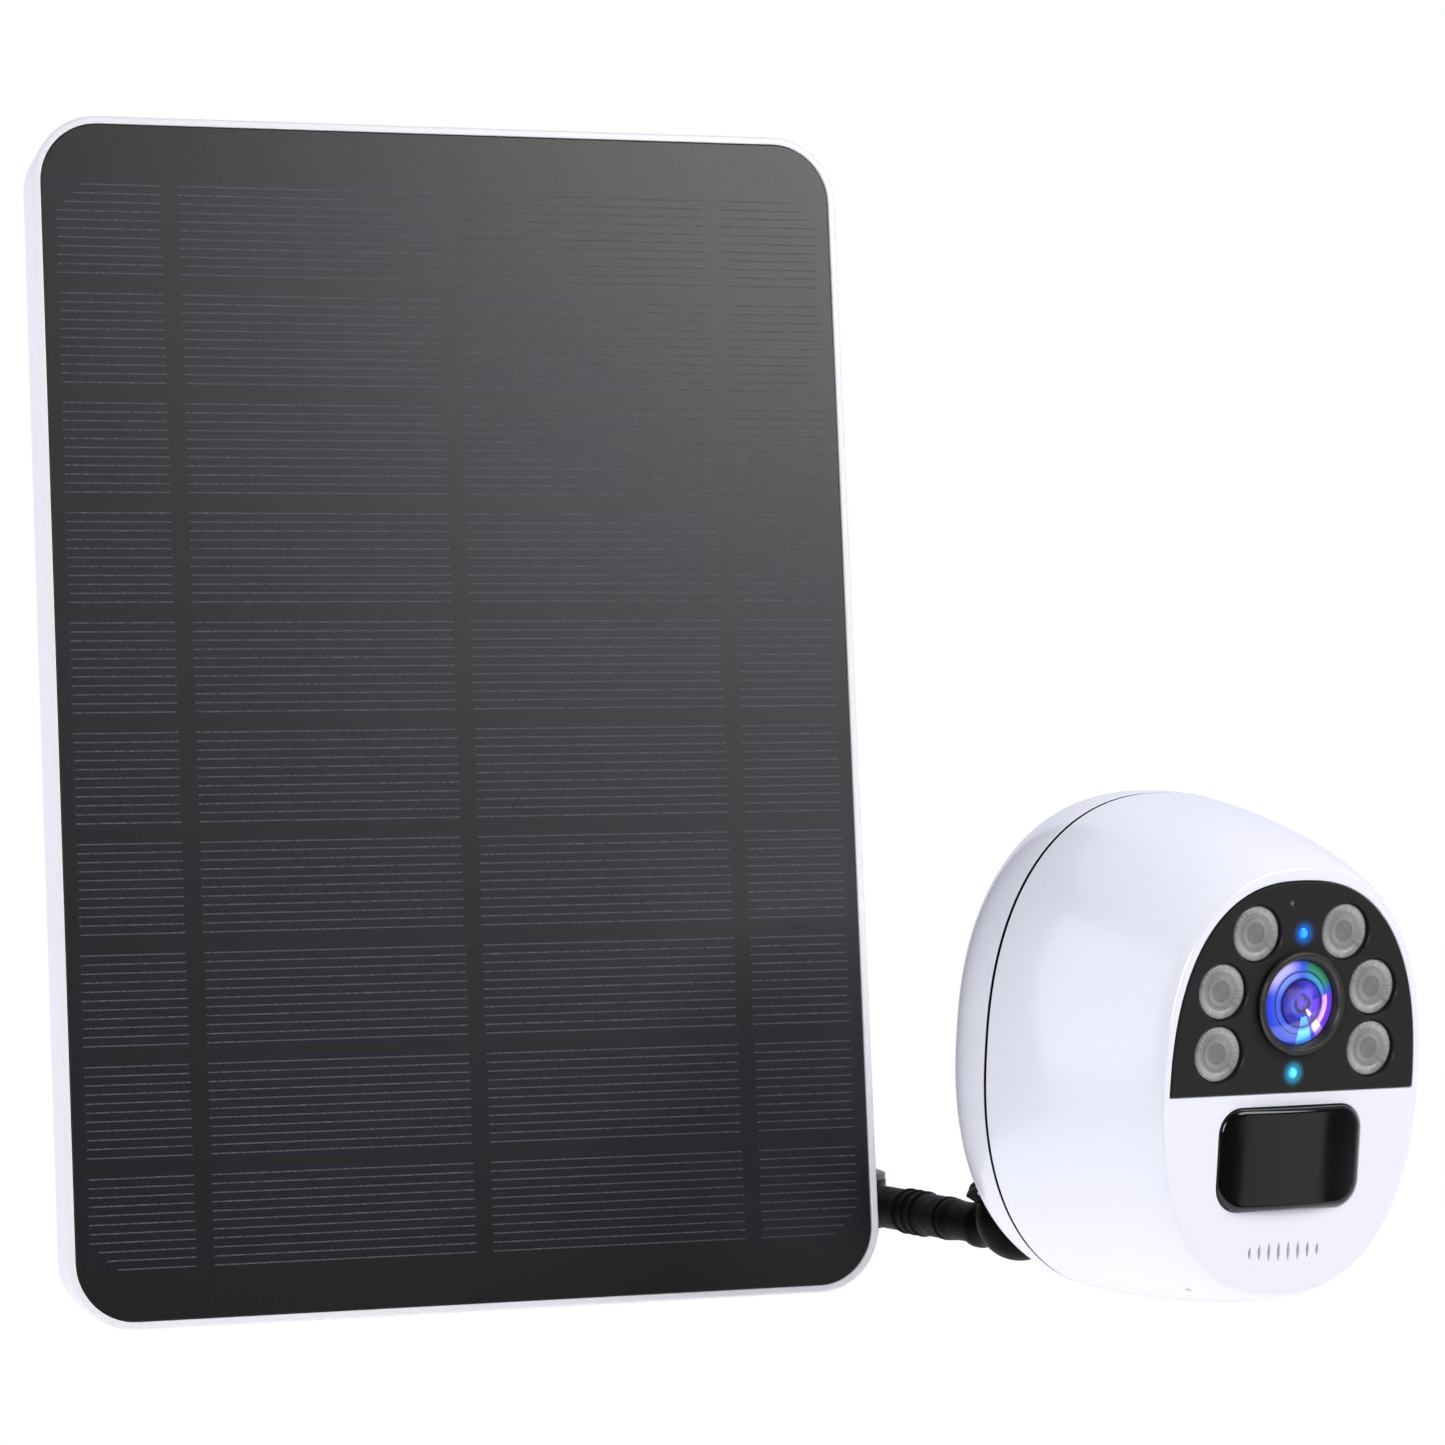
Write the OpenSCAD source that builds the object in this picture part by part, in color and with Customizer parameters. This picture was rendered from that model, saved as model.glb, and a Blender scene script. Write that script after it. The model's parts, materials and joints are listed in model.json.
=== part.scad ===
// Wall-mounted security camera with its own solar panel.
// Row frame: millimetres, +Z up, the wall is the plane y = 0 and everything stands towards -Y.
// The origin is the centre of the wall plate's back face.

/* [Solar panel] */
// Width of the dark front sheet
sheet_w = 149.5; // [140:0.5:160]
// Height of the dark front sheet
sheet_h = 209; // [200:0.5:220]
// Corner radius of the dark front sheet
sheet_r = 10.5; // [6:0.5:14]
// Width of the white rim that shows round the sheet
rim_w = 1.6; // [1:0.1:3]
// Depth of the white tray, front to back
tray_d = 14; // [12:0.5:18]
// How much each side of the tray draws in towards the back
tray_draft = 2; // [0:0.5:4]
// Number of cell strips, one above the other
cell_rows = 10; // [10:1:10]
// Pitch of the cell strips
cell_pitch = 19.4; // [19:0.1:19.8]
// Tilt of the panel from upright, facing up
panel_tilt = 6.2; // [0:0.1:20]
// Height of the panel's centre above the wall plate's centre
panel_z = 35; // [30:1:40]
// Distance from the wall to the panel's front
panel_y = 80; // [78:1:90]

/* [Wall bracket] */
// Width of the wall plate
plate_w = 56; // [50:1:64]
// Height of the wall plate
plate_h = 134; // [128:1:140]
// Thickness of the wall plate
plate_t = 3; // [2.5:0.5:4]
// Side-to-side distance between the wall screws
wall_hole_x = 36; // [32:1:40]
// Up-and-down distance between the wall screws
wall_hole_z = 114; // [108:1:118]
// Radius of each wall screw hole
wall_hole_r = 2.5; // [2:0.1:3]
// Radius of the panel's tilt bolt
tilt_bolt_r = 3; // [2.5:0.1:3.5]

/* [Camera arm] */
// Arm pivot, sideways from the wall plate's centre
pivot_x = 83.4; // [82:0.1:90]
// Arm pivot, out from the wall
pivot_y = 66.2; // [64:0.1:68]
// Arm pivot, down from the wall plate's centre
pivot_z = 57.5; // [56:0.1:60]
// Turn of the arm away from straight out
arm_yaw = 9.2; // [0:0.1:12]
// Length of the arm from pivot to ball
arm_l = 52; // [50:0.5:58]
// Radius of the arm's stem at the grip
stem_r = 4; // [3.8:0.1:4.4]
// Height of the ball above the stem's centre line
ball_rise = 2.6; // [1:0.1:4]
// Radius of the steel ball
ball_r = 5.6; // [5.2:0.1:6]
// Outer radius of the ball's socket
socket_r = 7.9; // [7.6:0.1:8.2]

/* [Camera body] */
// Half width of the body at the seam
body_a = 34; // [32:0.5:36]
// Half height of the body at the seam
body_b = 43.3; // [41:0.1:46]
// Squareness of the body's outline, where 2 is an ellipse
body_n = 2.33; // [2:0.01:2.5]
// Length from the seam to the flat face
front_l = 41.2; // [40:0.1:43]
// Half width of the flat face
face_a = 26.1; // [25:0.1:28]
// Half height of the flat face
face_b = 35.6; // [34:0.1:37]
// Depth of the rear cover
rear_l = 23.5; // [22:0.5:25]
// Wall thickness of both shells
wall = 2.2; // [1.8:0.1:2.6]
// Downward pitch of the body
body_pitch = 4.3; // [0:0.1:8]
// Turn of the body about its stud
camera_turn = 0.7; // [-2:0.1:2]

/* [Camera front] */
// Height of the lens above the body's centre
lens_z = 12.7; // [12:0.1:14]
// Outer radius of the lens ring
lens_ring_r = 8.75; // [8:0.05:9]
// Half width of the dark front window at its foot
window_a = 24.9; // [24:0.1:25.4]
// Height of the window's straight bottom edge
window_foot = -2.3; // [-3:0.1:0]
// Radius of each frosted lamp lens
lamp_r = 4.65; // [4.3:0.05:4.8]
// Width of the motion sensor's window
pir_w = 29; // [26:0.1:30]
// Height of the motion sensor's window
pir_h = 17.1; // [16:0.1:18]
// Number of speaker slits
slit_count = 8; // [8:1:8]

/* [Hidden] */
$fn = 64;
eps = 0.01;
run = 0.05; // radial clearance of the running fits

// --- Panel ---
tray_w = sheet_w + 2 * rim_w;
tray_h = sheet_h + 2 * rim_w;
tray_r = sheet_r + rim_w;
tray_wall = 1.8;
sheet_t = 1.0;
cell_t = 0.4;
board_t = 1.2;
hinge_back = 34; // hinge axis behind the panel's front
hinge_y = -panel_y + hinge_back * cos(panel_tilt);
hinge_z = panel_z - hinge_back * sin(panel_tilt);
tongue_w = 10;
ear_t = 3;
ear_r = 9;
ear_out = tongue_w / 2 + 0.1 + ear_t; // outer face of each ear
cell_w = 145;
cell_h = cell_pitch - 1;
ribbon_x = [-51.6, 0, 51.6];
ribbon_t = 0.3;
box_w = 62;
box_h = 42;
box_d = 12;
box_z = 62; // centre of the junction box above the panel's centre
charger_boss = [[-24, 12], [24, 12], [-24, -12], [24, -12]];

// --- Arm, in the arm's own frame: pivot at the origin, stem along -Y ---
eye_r = 4.6;
eye_h = 5.1;
fork_gap = eye_h + 0.1;
fork_t = 1.9;
pivot_pin_r = 2;
web_start = 5.6; // the fork's web, measured from the pivot
web_end = 9;
strut_r = 4.4;
strut_from = [0, -6];
strut_foot_r = 7;
strut_run = [strut_from[0] - pivot_x, strut_from[1] + pivot_y];
strut_l = norm(strut_run);
strut_turn = atan2(strut_run[1], strut_run[0]);
ball_at = [0, -arm_l, ball_rise];
stud_local = 33; // angle of the stud below the body's rearward axis
stud_rise = stud_local - body_pitch; // angle of the stud above level
neck_r = 2.6;
thread_r = 3.1;
nut_at = 8.4;
nut_t = 3.6;
pad_at = 12.1;
pad_t = 3;
pad_face = pad_at + pad_t;
boss_face = pad_face + 0.1;
grip_start = 8; // the rubber sleeve, measured from the pivot
grip_end = 30;
rim_at = 2.25; // the socket's rim, past the ball's centre
ring_r = 6.4; // the bright ring on that rim
clamp_turn = 38; // the clamp lug sits this far above level on the socket's left

// --- Body, in its own frame: seam centre at the origin, face towards -Y ---
ball_back = 36.3; // ball behind the seam
ball_drop = 37.1; // ball below the body's centre
seal_t = 0.8;
front_power = 1.45;
rear_power = 2.75;
rear_rise = 2.6; // the rear dome's crown sits above the centre
face_drop = 0.7; // the flat face sits below the centre
window_t = 1.5;
window_proud = 0.3;
window_top = 32.9;
window_n = 2.45; // squareness of the window's arch
window_y = -front_l - window_proud;
lamp_deep = 0.7;
lamp_y = window_y + lamp_deep;
lamp_at = [[9.1, 24.4], [15.5, 14.9], [15.7, 4.5]];
status_at = [[0.3, 24.3], [-0.3, 0.9]];
light_sensor_at = [-2.2, 29.4];
pir_r = 4.2;
pir_z = -13.4;
pir_proud = 1.8;
slit_z = -29.2;
slit_pitch = 2;
mic_at = [-13, -33, -31.6];
cell_r = 9.2;
cell_len = 65;
cell_x = 9.6;
cell_y = 2.6;
button_z = 25;
flap_z = 8;
flap_w = 20;
flap_h = 9;
flap_t = 1.6;
screw_at = [[-25.5, 18], [25.5, 18], [-25.5, -20], [25.5, -20]];

// --- Frames ---
module panel_frame() {
  translate([0, -panel_y, panel_z]) rotate([-panel_tilt, 0, 0]) children();
}

module arm_frame() {
  translate([pivot_x, -pivot_y, -pivot_z]) rotate([0, 0, arm_yaw]) children();
}

// Ball centre at the origin, stud along -Y
module stud_frame() {
  arm_frame() translate(ball_at) rotate([-stud_rise, 0, 0]) children();
}

module body_frame() {
  stud_frame() rotate([0, camera_turn, 0]) rotate([stud_local, 0, 0])
    translate([0, -ball_back, ball_drop]) children();
}

// --- Shared shapes ---
// Rod along -Y: starts at y, length l
module rod_y(r, y, l) {
  translate([0, y, 0]) rotate([90, 0, 0]) cylinder(r = r, h = l);
}

module rounded_2d(w, h, r) {
  square([w - 2 * r, h], center = true);
  square([w, h - 2 * r], center = true);
  for (x = [-1, 1], z = [-1, 1])
    translate([x * (w / 2 - r), z * (h / 2 - r)]) circle(r = r);
}

// Rounded slab standing in the XZ plane, from y back to y + t
module slab(w, h, r, y, t) {
  translate([0, y + t, 0]) rotate([90, 0, 0]) linear_extrude(t) rounded_2d(w, h, r);
}

// Superellipse outline
function oval(a, b, n = body_n, count = 64) = [
  for (i = [0 : count - 1])
    let (t = 360 * i / count, c = cos(t), s = sin(t))
    [a * sign(c) * pow(abs(c), 2 / n), b * sign(s) * pow(abs(s), 2 / n)]
];

// Fullness of a dome at s, from 1 at its foot to 0 at its crown
function fullness(s, power) = pow(1 - pow(min(s, 1), power), 1 / power);

module slice(a, b, z, y) {
  translate([0, y, z]) rotate([90, 0, 0]) linear_extrude(eps) polygon(oval(a, b));
}

// Front half: bulges from the seam and ends in the flat face. inset shrinks it on all sides.
module front_form(inset = 0, start = 0) {
  l = front_l - inset;
  hull() {
    slice(body_a - inset, body_b - inset, 0, start);
    for (s = [0.12, 0.3, 0.5, 0.68, 0.84, 0.95, 1]) {
      k = fullness(s, front_power);
      a = face_a + (body_a - face_a) * k - inset;
      b = face_b + (body_b - face_b) * k - inset;
      slice(a, b, -face_drop * (1 - k), -l * s + eps);
    }
  }
}

// Rear half: a dome with its crown a little above the centre
module rear_form(inset = 0, start = 0) {
  l = rear_l - inset;
  hull() {
    slice(body_a - inset, body_b - inset, 0, start + eps);
    for (s = [0.25, 0.5, 0.7, 0.84, 0.93, 0.985]) {
      k = fullness(s, rear_power);
      slice((body_a - inset) * k, (body_b - inset) * k, rear_rise * (1 - k), l * s);
    }
    slice(6, 7.5, rear_rise, l);
  }
}

// Arched front window outline, cut straight at its foot
module window_2d(grow = 0) {
  intersection() {
    translate([0, window_foot])
      polygon(oval(window_a + grow, window_top - window_foot + grow, window_n));
    translate([-40, window_foot - grow]) square([80, 60]);
  }
}

// --- Wall bracket ---
module wall_plate() {
  color("#1c1c1f") difference() {
    slab(plate_w, plate_h, 12, -plate_t, plate_t);
    for (x = [-1, 1], z = [-1, 1])
      translate([x * wall_hole_x / 2, 1, z * wall_hole_z / 2])
        rotate([90, 0, 0]) cylinder(r = wall_hole_r, h = plate_t + 2);
  }
}

module panel_post() {
  reach = -hinge_y;
  color("#1c1c1f") translate([0, 0, hinge_z]) difference() {
    union() {
      rod_y(15, -plate_t, 3);
      rod_y(8, -plate_t, reach - 15 - plate_t);
      translate([-tongue_w / 2, -reach, -7]) cube([tongue_w, 20, 14]);
      translate([-tongue_w / 2, -reach, 0]) rotate([0, 90, 0]) cylinder(r = 7, h = tongue_w);
    }
    translate([-20, -reach, 0]) rotate([0, 90, 0]) cylinder(r = tilt_bolt_r + run, h = 40);
  }
}

// Round strut from a welded foot on the plate to the fork
module side_strut() {
  color("#1c1c1f") translate([0, 0, -pivot_z]) difference() {
    union() {
      translate([strut_from[0], -plate_t, 0]) rotate([90, 0, 0]) cylinder(r = strut_foot_r, h = 3);
      translate([pivot_x, -pivot_y, 0]) rotate([0, 0, strut_turn]) translate([web_end, 0, 0])
        rotate([0, 90, 0]) cylinder(r = strut_r, h = strut_l - web_end);
    }
    translate([-20, -plate_t, -20]) cube([60, 30, 40]);
  }
}

// Two steel ears that hold the arm's eye, on a short web that caps the strut
module arm_fork() {
  color("#1c1c1f") translate([pivot_x, -pivot_y, -pivot_z]) difference() {
    union() {
      for (side = [0, 1]) mirror([0, 0, side]) translate([0, 0, fork_gap / 2]) {
        cylinder(r = eye_r, h = fork_t);
        rotate([0, 0, strut_turn]) translate([0, -strut_r, 0]) cube([web_end, 2 * strut_r, fork_t]);
      }
      rotate([0, 0, strut_turn]) translate([web_start, -strut_r, -fork_gap / 2 - eps])
        cube([web_end - web_start, 2 * strut_r, fork_gap + 2 * eps]);
    }
    translate([0, 0, -10]) cylinder(r = pivot_pin_r + run, h = 20);
  }
}

// --- Solar panel, in the panel's frame: front at y = 0 ---
module tray_solid(inset, front, back) {
  hull() {
    slab(tray_w - 2 * inset, tray_h - 2 * inset, tray_r - inset, front, eps);
    slab(tray_w - 2 * inset - 2 * tray_draft, tray_h - 2 * inset - 2 * tray_draft,
      tray_r - inset, back - eps, eps);
  }
}

module panel_tray() {
  color("#f2f2f4") panel_frame() difference() {
    union() {
      difference() {
        tray_solid(0, -0.3, tray_d);
        tray_solid(tray_wall, 2.6, tray_d - tray_wall);
        slab(sheet_w + 0.3, sheet_h + 0.3, sheet_r + 0.15, -1, 1 + sheet_t + cell_t + board_t);
        slab(sheet_w - 6, sheet_h - 6, sheet_r - 2, 0, 4);
      }
      for (x = [-1, 1], z = [-1, 1])
        translate([x * 15, 0, z * 15]) rod_y(4, tray_d - 1, tray_d - 5);
    }
    for (x = [-1, 1], z = [-1, 1])
      translate([x * 15, 0, z * 15]) rod_y(1.5, tray_d + 1, 9);
    translate([0, 0, box_z]) rod_y(5, tray_d + 1, tray_wall + 2);
  }
}

module front_sheet() {
  color("#1b1c22") panel_frame() slab(sheet_w, sheet_h, sheet_r, 0, sheet_t);
}

// Left-to-right strips, each cut from one square cell; the end strips lose their outer corners
module solar_cells() {
  half = (cell_rows - 1) / 2;
  corner = 5;
  color("#23243a") panel_frame() for (i = [0 : cell_rows - 1])
    translate([0, sheet_t, (half - i) * cell_pitch]) difference() {
      translate([-cell_w / 2, 0, -cell_h / 2]) cube([cell_w, cell_t, cell_h]);
      if (i == 0 || i == cell_rows - 1) for (x = [-1, 1])
        translate([x * cell_w / 2, -1, (i == 0 ? 1 : -1) * cell_h / 2])
          rotate([0, 45, 0]) translate([-corner, 0, -corner]) cube([2 * corner, 3, 2 * corner]);
    }
}

module cell_ribbons() {
  color("#b8763c") panel_frame() for (x = ribbon_x)
    translate([x - 0.9, sheet_t + cell_t, -sheet_h / 2 + 8]) cube([1.8, ribbon_t, sheet_h - 16]);
}

module panel_board() {
  color("#1d4a30") panel_frame() difference() {
    slab(sheet_w - 0.4, sheet_h - 0.4, sheet_r - 0.2, sheet_t + cell_t, board_t);
    for (x = ribbon_x) translate([x - 1, 0, -sheet_h / 2 + 7.9])
      cube([2, sheet_t + cell_t + ribbon_t + eps, sheet_h - 15.8]);
    translate([0, 0, box_z]) rod_y(3, 6, 6);
  }
}

module junction_box() {
  color("#e9e9ec") panel_frame() translate([0, 0, box_z]) difference() {
    slab(box_w, box_h, 5, tray_d, box_d);
    slab(box_w - 3.6, box_h - 3.6, 3.2, tray_d + 1.6, box_d);
    rod_y(5, tray_d + 3, 5);
    translate([0, tray_d + 6.5, -box_h / 2 - 1]) cylinder(r = 4.05, h = 4);
  }
}

module lid_posts() {
  for (p = charger_boss) translate([p[0] * 1.1, 0, p[1] * 1.3]) children();
}

module junction_lid() {
  color("#e9e9ec") panel_frame() translate([0, 0, box_z]) difference() {
    union() {
      slab(box_w, box_h, 5, tray_d + box_d, 1.8);
      lid_posts() rod_y(2, tray_d + box_d + eps, box_d - 1.7);
    }
    lid_posts() {
      rod_y(1.05, tray_d + box_d + 4, box_d + 2);
      rod_y(2.1, tray_d + box_d + 4, 3.2);
    }
  }
}

module junction_screws() {
  color("#b9bbc0") panel_frame() translate([0, 0, box_z]) lid_posts() {
    rod_y(1.05, tray_d + box_d + 0.9, 9);
    difference() {
      rod_y(1.9, tray_d + box_d + 1.8, 1);
      translate([-0.3, tray_d + box_d + 1.2, -1.3]) cube([0.6, 1, 2.6]);
      translate([-1.3, tray_d + box_d + 1.2, -0.3]) cube([2.6, 1, 0.6]);
    }
  }
}

module charge_board() {
  color("#1f6b3a") panel_frame() translate([0, 0, box_z]) {
    difference() {
      translate([-22, tray_d + 5, -13]) cube([44, 1.4, 26]);
      rod_y(3.4, tray_d + 7, 4);
    }
    color("#303036") for (x = [-14, 10]) translate([x, tray_d + 6.4 - eps, 1]) cube([7, 3, 7]);
    color("#26262a") translate([-4, tray_d + 6.4 - eps, 4]) cube([8, 1.6, 6]);
  }
}

// Round weatherproof socket in the box's lower wall, for the lead to the camera
module output_socket() {
  color("#1c1c1f") panel_frame() translate([0, tray_d + 6.5, box_z - box_h / 2]) difference() {
    union() {
      translate([0, 0, -5]) cylinder(r = 5.4, h = 4.9);
      translate([0, 0, -0.1 - eps]) cylinder(r = 4, h = 5);
    }
    translate([0, 0, -6]) cylinder(r = 3.1, h = 8);
  }
}

module panel_ears() {
  color("#1c1c1f") panel_frame() difference() {
    union() {
      slab(44, 44, 6, tray_d, 2.5);
      for (side = [0, 1]) mirror([side, 0, 0]) translate([tongue_w / 2 + 0.1, 0, 0]) {
        translate([0, tray_d + 2, -ear_r]) cube([ear_t, hinge_back - tray_d - 2, 2 * ear_r]);
        translate([0, hinge_back, 0]) rotate([0, 90, 0]) cylinder(r = ear_r, h = ear_t);
      }
    }
    translate([-20, hinge_back, 0]) rotate([0, 90, 0]) cylinder(r = tilt_bolt_r + run, h = 40);
    for (x = [-1, 1], z = [-1, 1])
      translate([x * 15, 0, z * 15]) rod_y(1.6, tray_d + 4, 6);
  }
}

module ear_screws() {
  color("#b9bbc0") panel_frame() for (x = [-1, 1], z = [-1, 1]) translate([x * 15, 0, z * 15]) {
    rod_y(1.5, tray_d + 3, 9);
    difference() {
      rod_y(2.8, tray_d + 4.3, 1.8);
      translate([-0.4, tray_d + 3.5, -2]) cube([0.8, 1, 4]);
      translate([-2, tray_d + 3.5, -0.4]) cube([4, 1, 0.8]);
    }
  }
}

module tilt_bolt() {
  color("#b9bbc0") translate([0, hinge_y, hinge_z]) {
    translate([-ear_out - 0.05, 0, 0]) rotate([0, 90, 0]) cylinder(r = tilt_bolt_r, h = 2 * ear_out + 13);
    translate([-ear_out - 4.05, 0, 0]) rotate([0, 90, 0]) cylinder(r = 5.7, h = 4, $fn = 6);
  }
}

// Lobed hand knob on the free end of the tilt bolt
module tilt_knob() {
  color("#232326") translate([ear_out + 0.1, hinge_y, hinge_z]) rotate([0, 90, 0]) difference() {
    union() {
      cylinder(r = 5, h = 4);
      translate([0, 0, 3]) cylinder(r = 8.6, h = 9);
      for (i = [0 : 5]) rotate([0, 0, 60 * i]) translate([8, 0, 3]) cylinder(r = 2.6, h = 9);
    }
    translate([0, 0, -1]) cylinder(r = tilt_bolt_r + run, h = 20);
  }
}

// --- Camera arm ---
module socket_turn() {
  translate(ball_at) rotate([-stud_rise, 0, 0]) children();
}

// Stem with an eye at its root and a round socket for the ball at its end
module arm_stem() {
  waist = 3.7;
  color("#17171a") arm_frame() difference() {
    union() {
      translate([0, 0, -eye_h / 2]) cylinder(r = eye_r, h = eye_h);
      translate([-3.2, -7, -eye_h / 2]) cube([6.4, 7, eye_h]);
      rod_y(stem_r - 0.1, -6.2, 1.8);
      rod_y(stem_r - 0.5, -6.4, arm_l - 9);
      translate([0, -grip_end, 0]) rotate([90, 0, 0]) cylinder(r1 = stem_r - 0.2, r2 = waist, h = 6);
      rod_y(waist, -grip_end - 6, arm_l - grip_end - 10);
      rod_y(4.3, -38.6, 2.2);
      socket_turn() rotate([90, 0, 0]) rotate_extrude()
        intersection() {
          difference() {
            circle(r = socket_r);
            circle(r = ball_r + 0.15);
          }
          translate([0, -10]) square([10, 10 + rim_at]);
        }
      socket_turn() rotate([0, clamp_turn, 0]) translate([-socket_r - 2.3, -4, -1.3]) cube([4, 6, 2.6]);
    }
    translate([0, 0, -10]) cylinder(r = pivot_pin_r + run, h = 20);
    socket_turn() sphere(r = ball_r + 0.15);
    socket_turn() rotate([90, 0, 0]) cylinder(r = ball_r - 0.2, h = 10);
    socket_turn() rotate([90, 0, 0]) translate([0, 0, rim_at]) cylinder(r = ring_r + 0.1, h = 10);
    socket_turn() rotate([0, clamp_turn, 0]) translate([-socket_r - 4, -4.5, -0.25]) cube([6, 7, 0.5]);
    socket_turn() rotate([0, clamp_turn, 0]) translate([-socket_r - 0.9, -1.2, -4]) cylinder(r = 0.7, h = 8);
  }
}

// Rubber sleeve with three raised rings
module grip_sleeve() {
  grip_l = grip_end - grip_start;
  color("#141416") arm_frame() translate([0, -grip_start, 0]) rotate([90, 0, 0]) difference() {
    union() {
      cylinder(r = stem_r, h = grip_l);
      for (i = [0 : 2]) translate([0, 0, 8.3 + 2.7 * i]) rotate_extrude()
        translate([stem_r - 0.1, 0]) circle(r = 0.5, $fn = 24);
    }
    translate([0, 0, -1]) cylinder(r = stem_r - 0.5, h = grip_l + 2);
  }
}

// Bright ring that keeps the ball in its socket
module socket_ring() {
  color("#c9ccd1") arm_frame() socket_turn() rotate([90, 0, 0]) translate([0, 0, rim_at])
    rotate_extrude() polygon([[5.2, 0], [ring_r, 0], [ring_r, 0.6], [ring_r - 0.25, 0.85], [4.85, 0.85]]);
}

module clamp_screw() {
  color("#c9ccd1") arm_frame() socket_turn() rotate([0, clamp_turn, 0])
    translate([-socket_r - 0.9, -1.2, 0]) {
      translate([0, 0, -1.3]) cylinder(r = 0.7, h = 2.7);
      translate([0, 0, 1.3]) cylinder(r = 1.15, h = 1);
    }
}

module pivot_screw() {
  half = fork_gap / 2 + fork_t;
  color("#c9ccd1") translate([pivot_x, -pivot_y, -pivot_z]) {
    translate([0, 0, -half - 1]) cylinder(r = pivot_pin_r, h = 2 * half + 1);
    translate([0, 0, -half - 1.6]) cylinder(r = 3.6, h = 1.6, $fn = 6);
  }
}

// Pale domed cap over the pivot screw's head
module pivot_cap() {
  cap_h = 2.2;
  color("#b5aca6") translate([pivot_x, -pivot_y, -pivot_z + fork_gap / 2 + fork_t])
    rotate_extrude() intersection() {
      translate([0, -8]) circle(r = 8 + cap_h);
      square([eye_r - 0.1, cap_h]);
    }
}

// --- Ball, stud and pad, in the stud's frame ---
module ball_stud() {
  color("#5c5e64") stud_frame() {
    difference() {
      sphere(r = ball_r);
      rod_y(0.6, ball_r + 1, 2);
    }
    rod_y(neck_r, -ball_r + 0.6, nut_at - ball_r + 0.8);
    rod_y(thread_r, -nut_at, boss_face + 6.5 - nut_at);
  }
}

module lock_nut() {
  color("#b9bbc0") stud_frame() difference() {
    translate([0, -nut_at, 0]) rotate([90, 0, 0]) cylinder(r = 6.2, h = nut_t, $fn = 6);
    rod_y(thread_r, 0, 30);
  }
}

module mount_pad() {
  color("#1c1c1f") stud_frame() difference() {
    union() {
      rod_y(6.4, -pad_at, 1);
      rod_y(8.4, -pad_at - 1 + eps, pad_t - 1 - eps);
    }
    rod_y(thread_r, 0, 30);
  }
}

// --- Camera body ---
module screw_spots() {
  for (p = screw_at) translate([p[0], 0, p[1]]) children();
}

module front_shell() {
  color("#f4f4f7") body_frame() difference() {
    union() {
      difference() {
        front_form(0, -seal_t / 2);
        front_form(wall, 1);
      }
      screw_spots() rod_y(3, -seal_t / 2, 15);
    }
    screw_spots() rod_y(1.1, 1, 13);
    // recess for the window, and the opening behind it
    translate([0, -front_l + window_t - window_proud, 0]) rotate([90, 0, 0])
      linear_extrude(5) window_2d(0.1);
    translate([0, -front_l + 4, 0]) rotate([90, 0, 0]) linear_extrude(8) window_2d(-2);
    lamp_spots() rod_y(lamp_r + 0.2, 0, 60);
    status_spots() rod_y(1.8, 0, 60);
    // motion sensor opening
    translate([0, 0, pir_z]) slab(pir_w + 0.1, pir_h + 0.1, pir_r + 0.05, -front_l - 1, 5);
    // speaker slits
    for (i = [0 : slit_count - 1]) {
      off = i - (slit_count - 1) / 2;
      translate([off * slit_pitch, 0, slit_z]) slab(1, 3.1 - 0.09 * off * off, 0.49, -front_l - 1, 5);
    }
    // microphone hole in the underside
    translate([mic_at[0], mic_at[1], -50]) cylinder(r = 0.6, h = 20);
  }
}

module boss_turn() {
  translate([0, ball_back, -ball_drop]) rotate([-stud_local, 0, 0]) children();
}

module rear_cover() {
  color("#f4f4f7") body_frame() difference() {
    union() {
      difference() {
        rear_form(0, seal_t / 2);
        rear_form(wall, -1);
      }
      intersection() {
        boss_turn() rod_y(8.6, -boss_face, 14);
        translate([-20, 12.2, -45]) cube([40, 20, 40]);
      }
      screw_spots() rod_y(4, 12, 12 - seal_t / 2);
    }
    boss_turn() rod_y(4.5, -boss_face + 1, 20);
    screw_spots() {
      rod_y(1.25, 20, 25);
      rod_y(2.4, 40, 37);
    }
    // power button, and the recess and hole of the port
    translate([0, 0, button_z]) rod_y(3.6, 30, 14);
    translate([0, 0, flap_z]) slab(flap_w + 0.6, flap_h + 0.6, 2.3, rear_l - flap_t - 0.1, 6);
    translate([0, 0, flap_z]) slab(9.2, 4, 1, rear_l - 6, 8);
  }
}

module seam_seal() {
  color("#0c0c0e") body_frame() difference() {
    translate([0, seal_t / 2, 0]) rotate([90, 0, 0]) linear_extrude(seal_t)
      polygon(oval(body_a - 0.5, body_b - 0.5));
    translate([0, 2, 0]) rotate([90, 0, 0]) linear_extrude(4) polygon(oval(body_a - 2.2, body_b - 2.2));
  }
}

// Brass insert with a blind thread for the stud
module thread_insert() {
  color("#b58a3c") body_frame() boss_turn() difference() {
    rod_y(4.5, -boss_face, 8.4);
    rod_y(thread_r + run, 0, boss_face + 7);
  }
}

module case_screws() {
  color("#b9bbc0") body_frame() screw_spots() {
    rod_y(1.1, 3, 14);
    difference() {
      rod_y(2.2, 4.6, 1.6);
      translate([-0.3, 3.9, -1.5]) cube([0.6, 1, 3]);
      translate([-1.5, 3.9, -0.3]) cube([3, 1, 0.6]);
    }
  }
}

module lamp_spots() {
  for (p = lamp_at, side = [-1, 1]) translate([side * p[0], 0, p[1]]) children();
}

module status_spots() {
  for (p = status_at) translate([p[0], 0, p[1]]) children();
}

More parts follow.
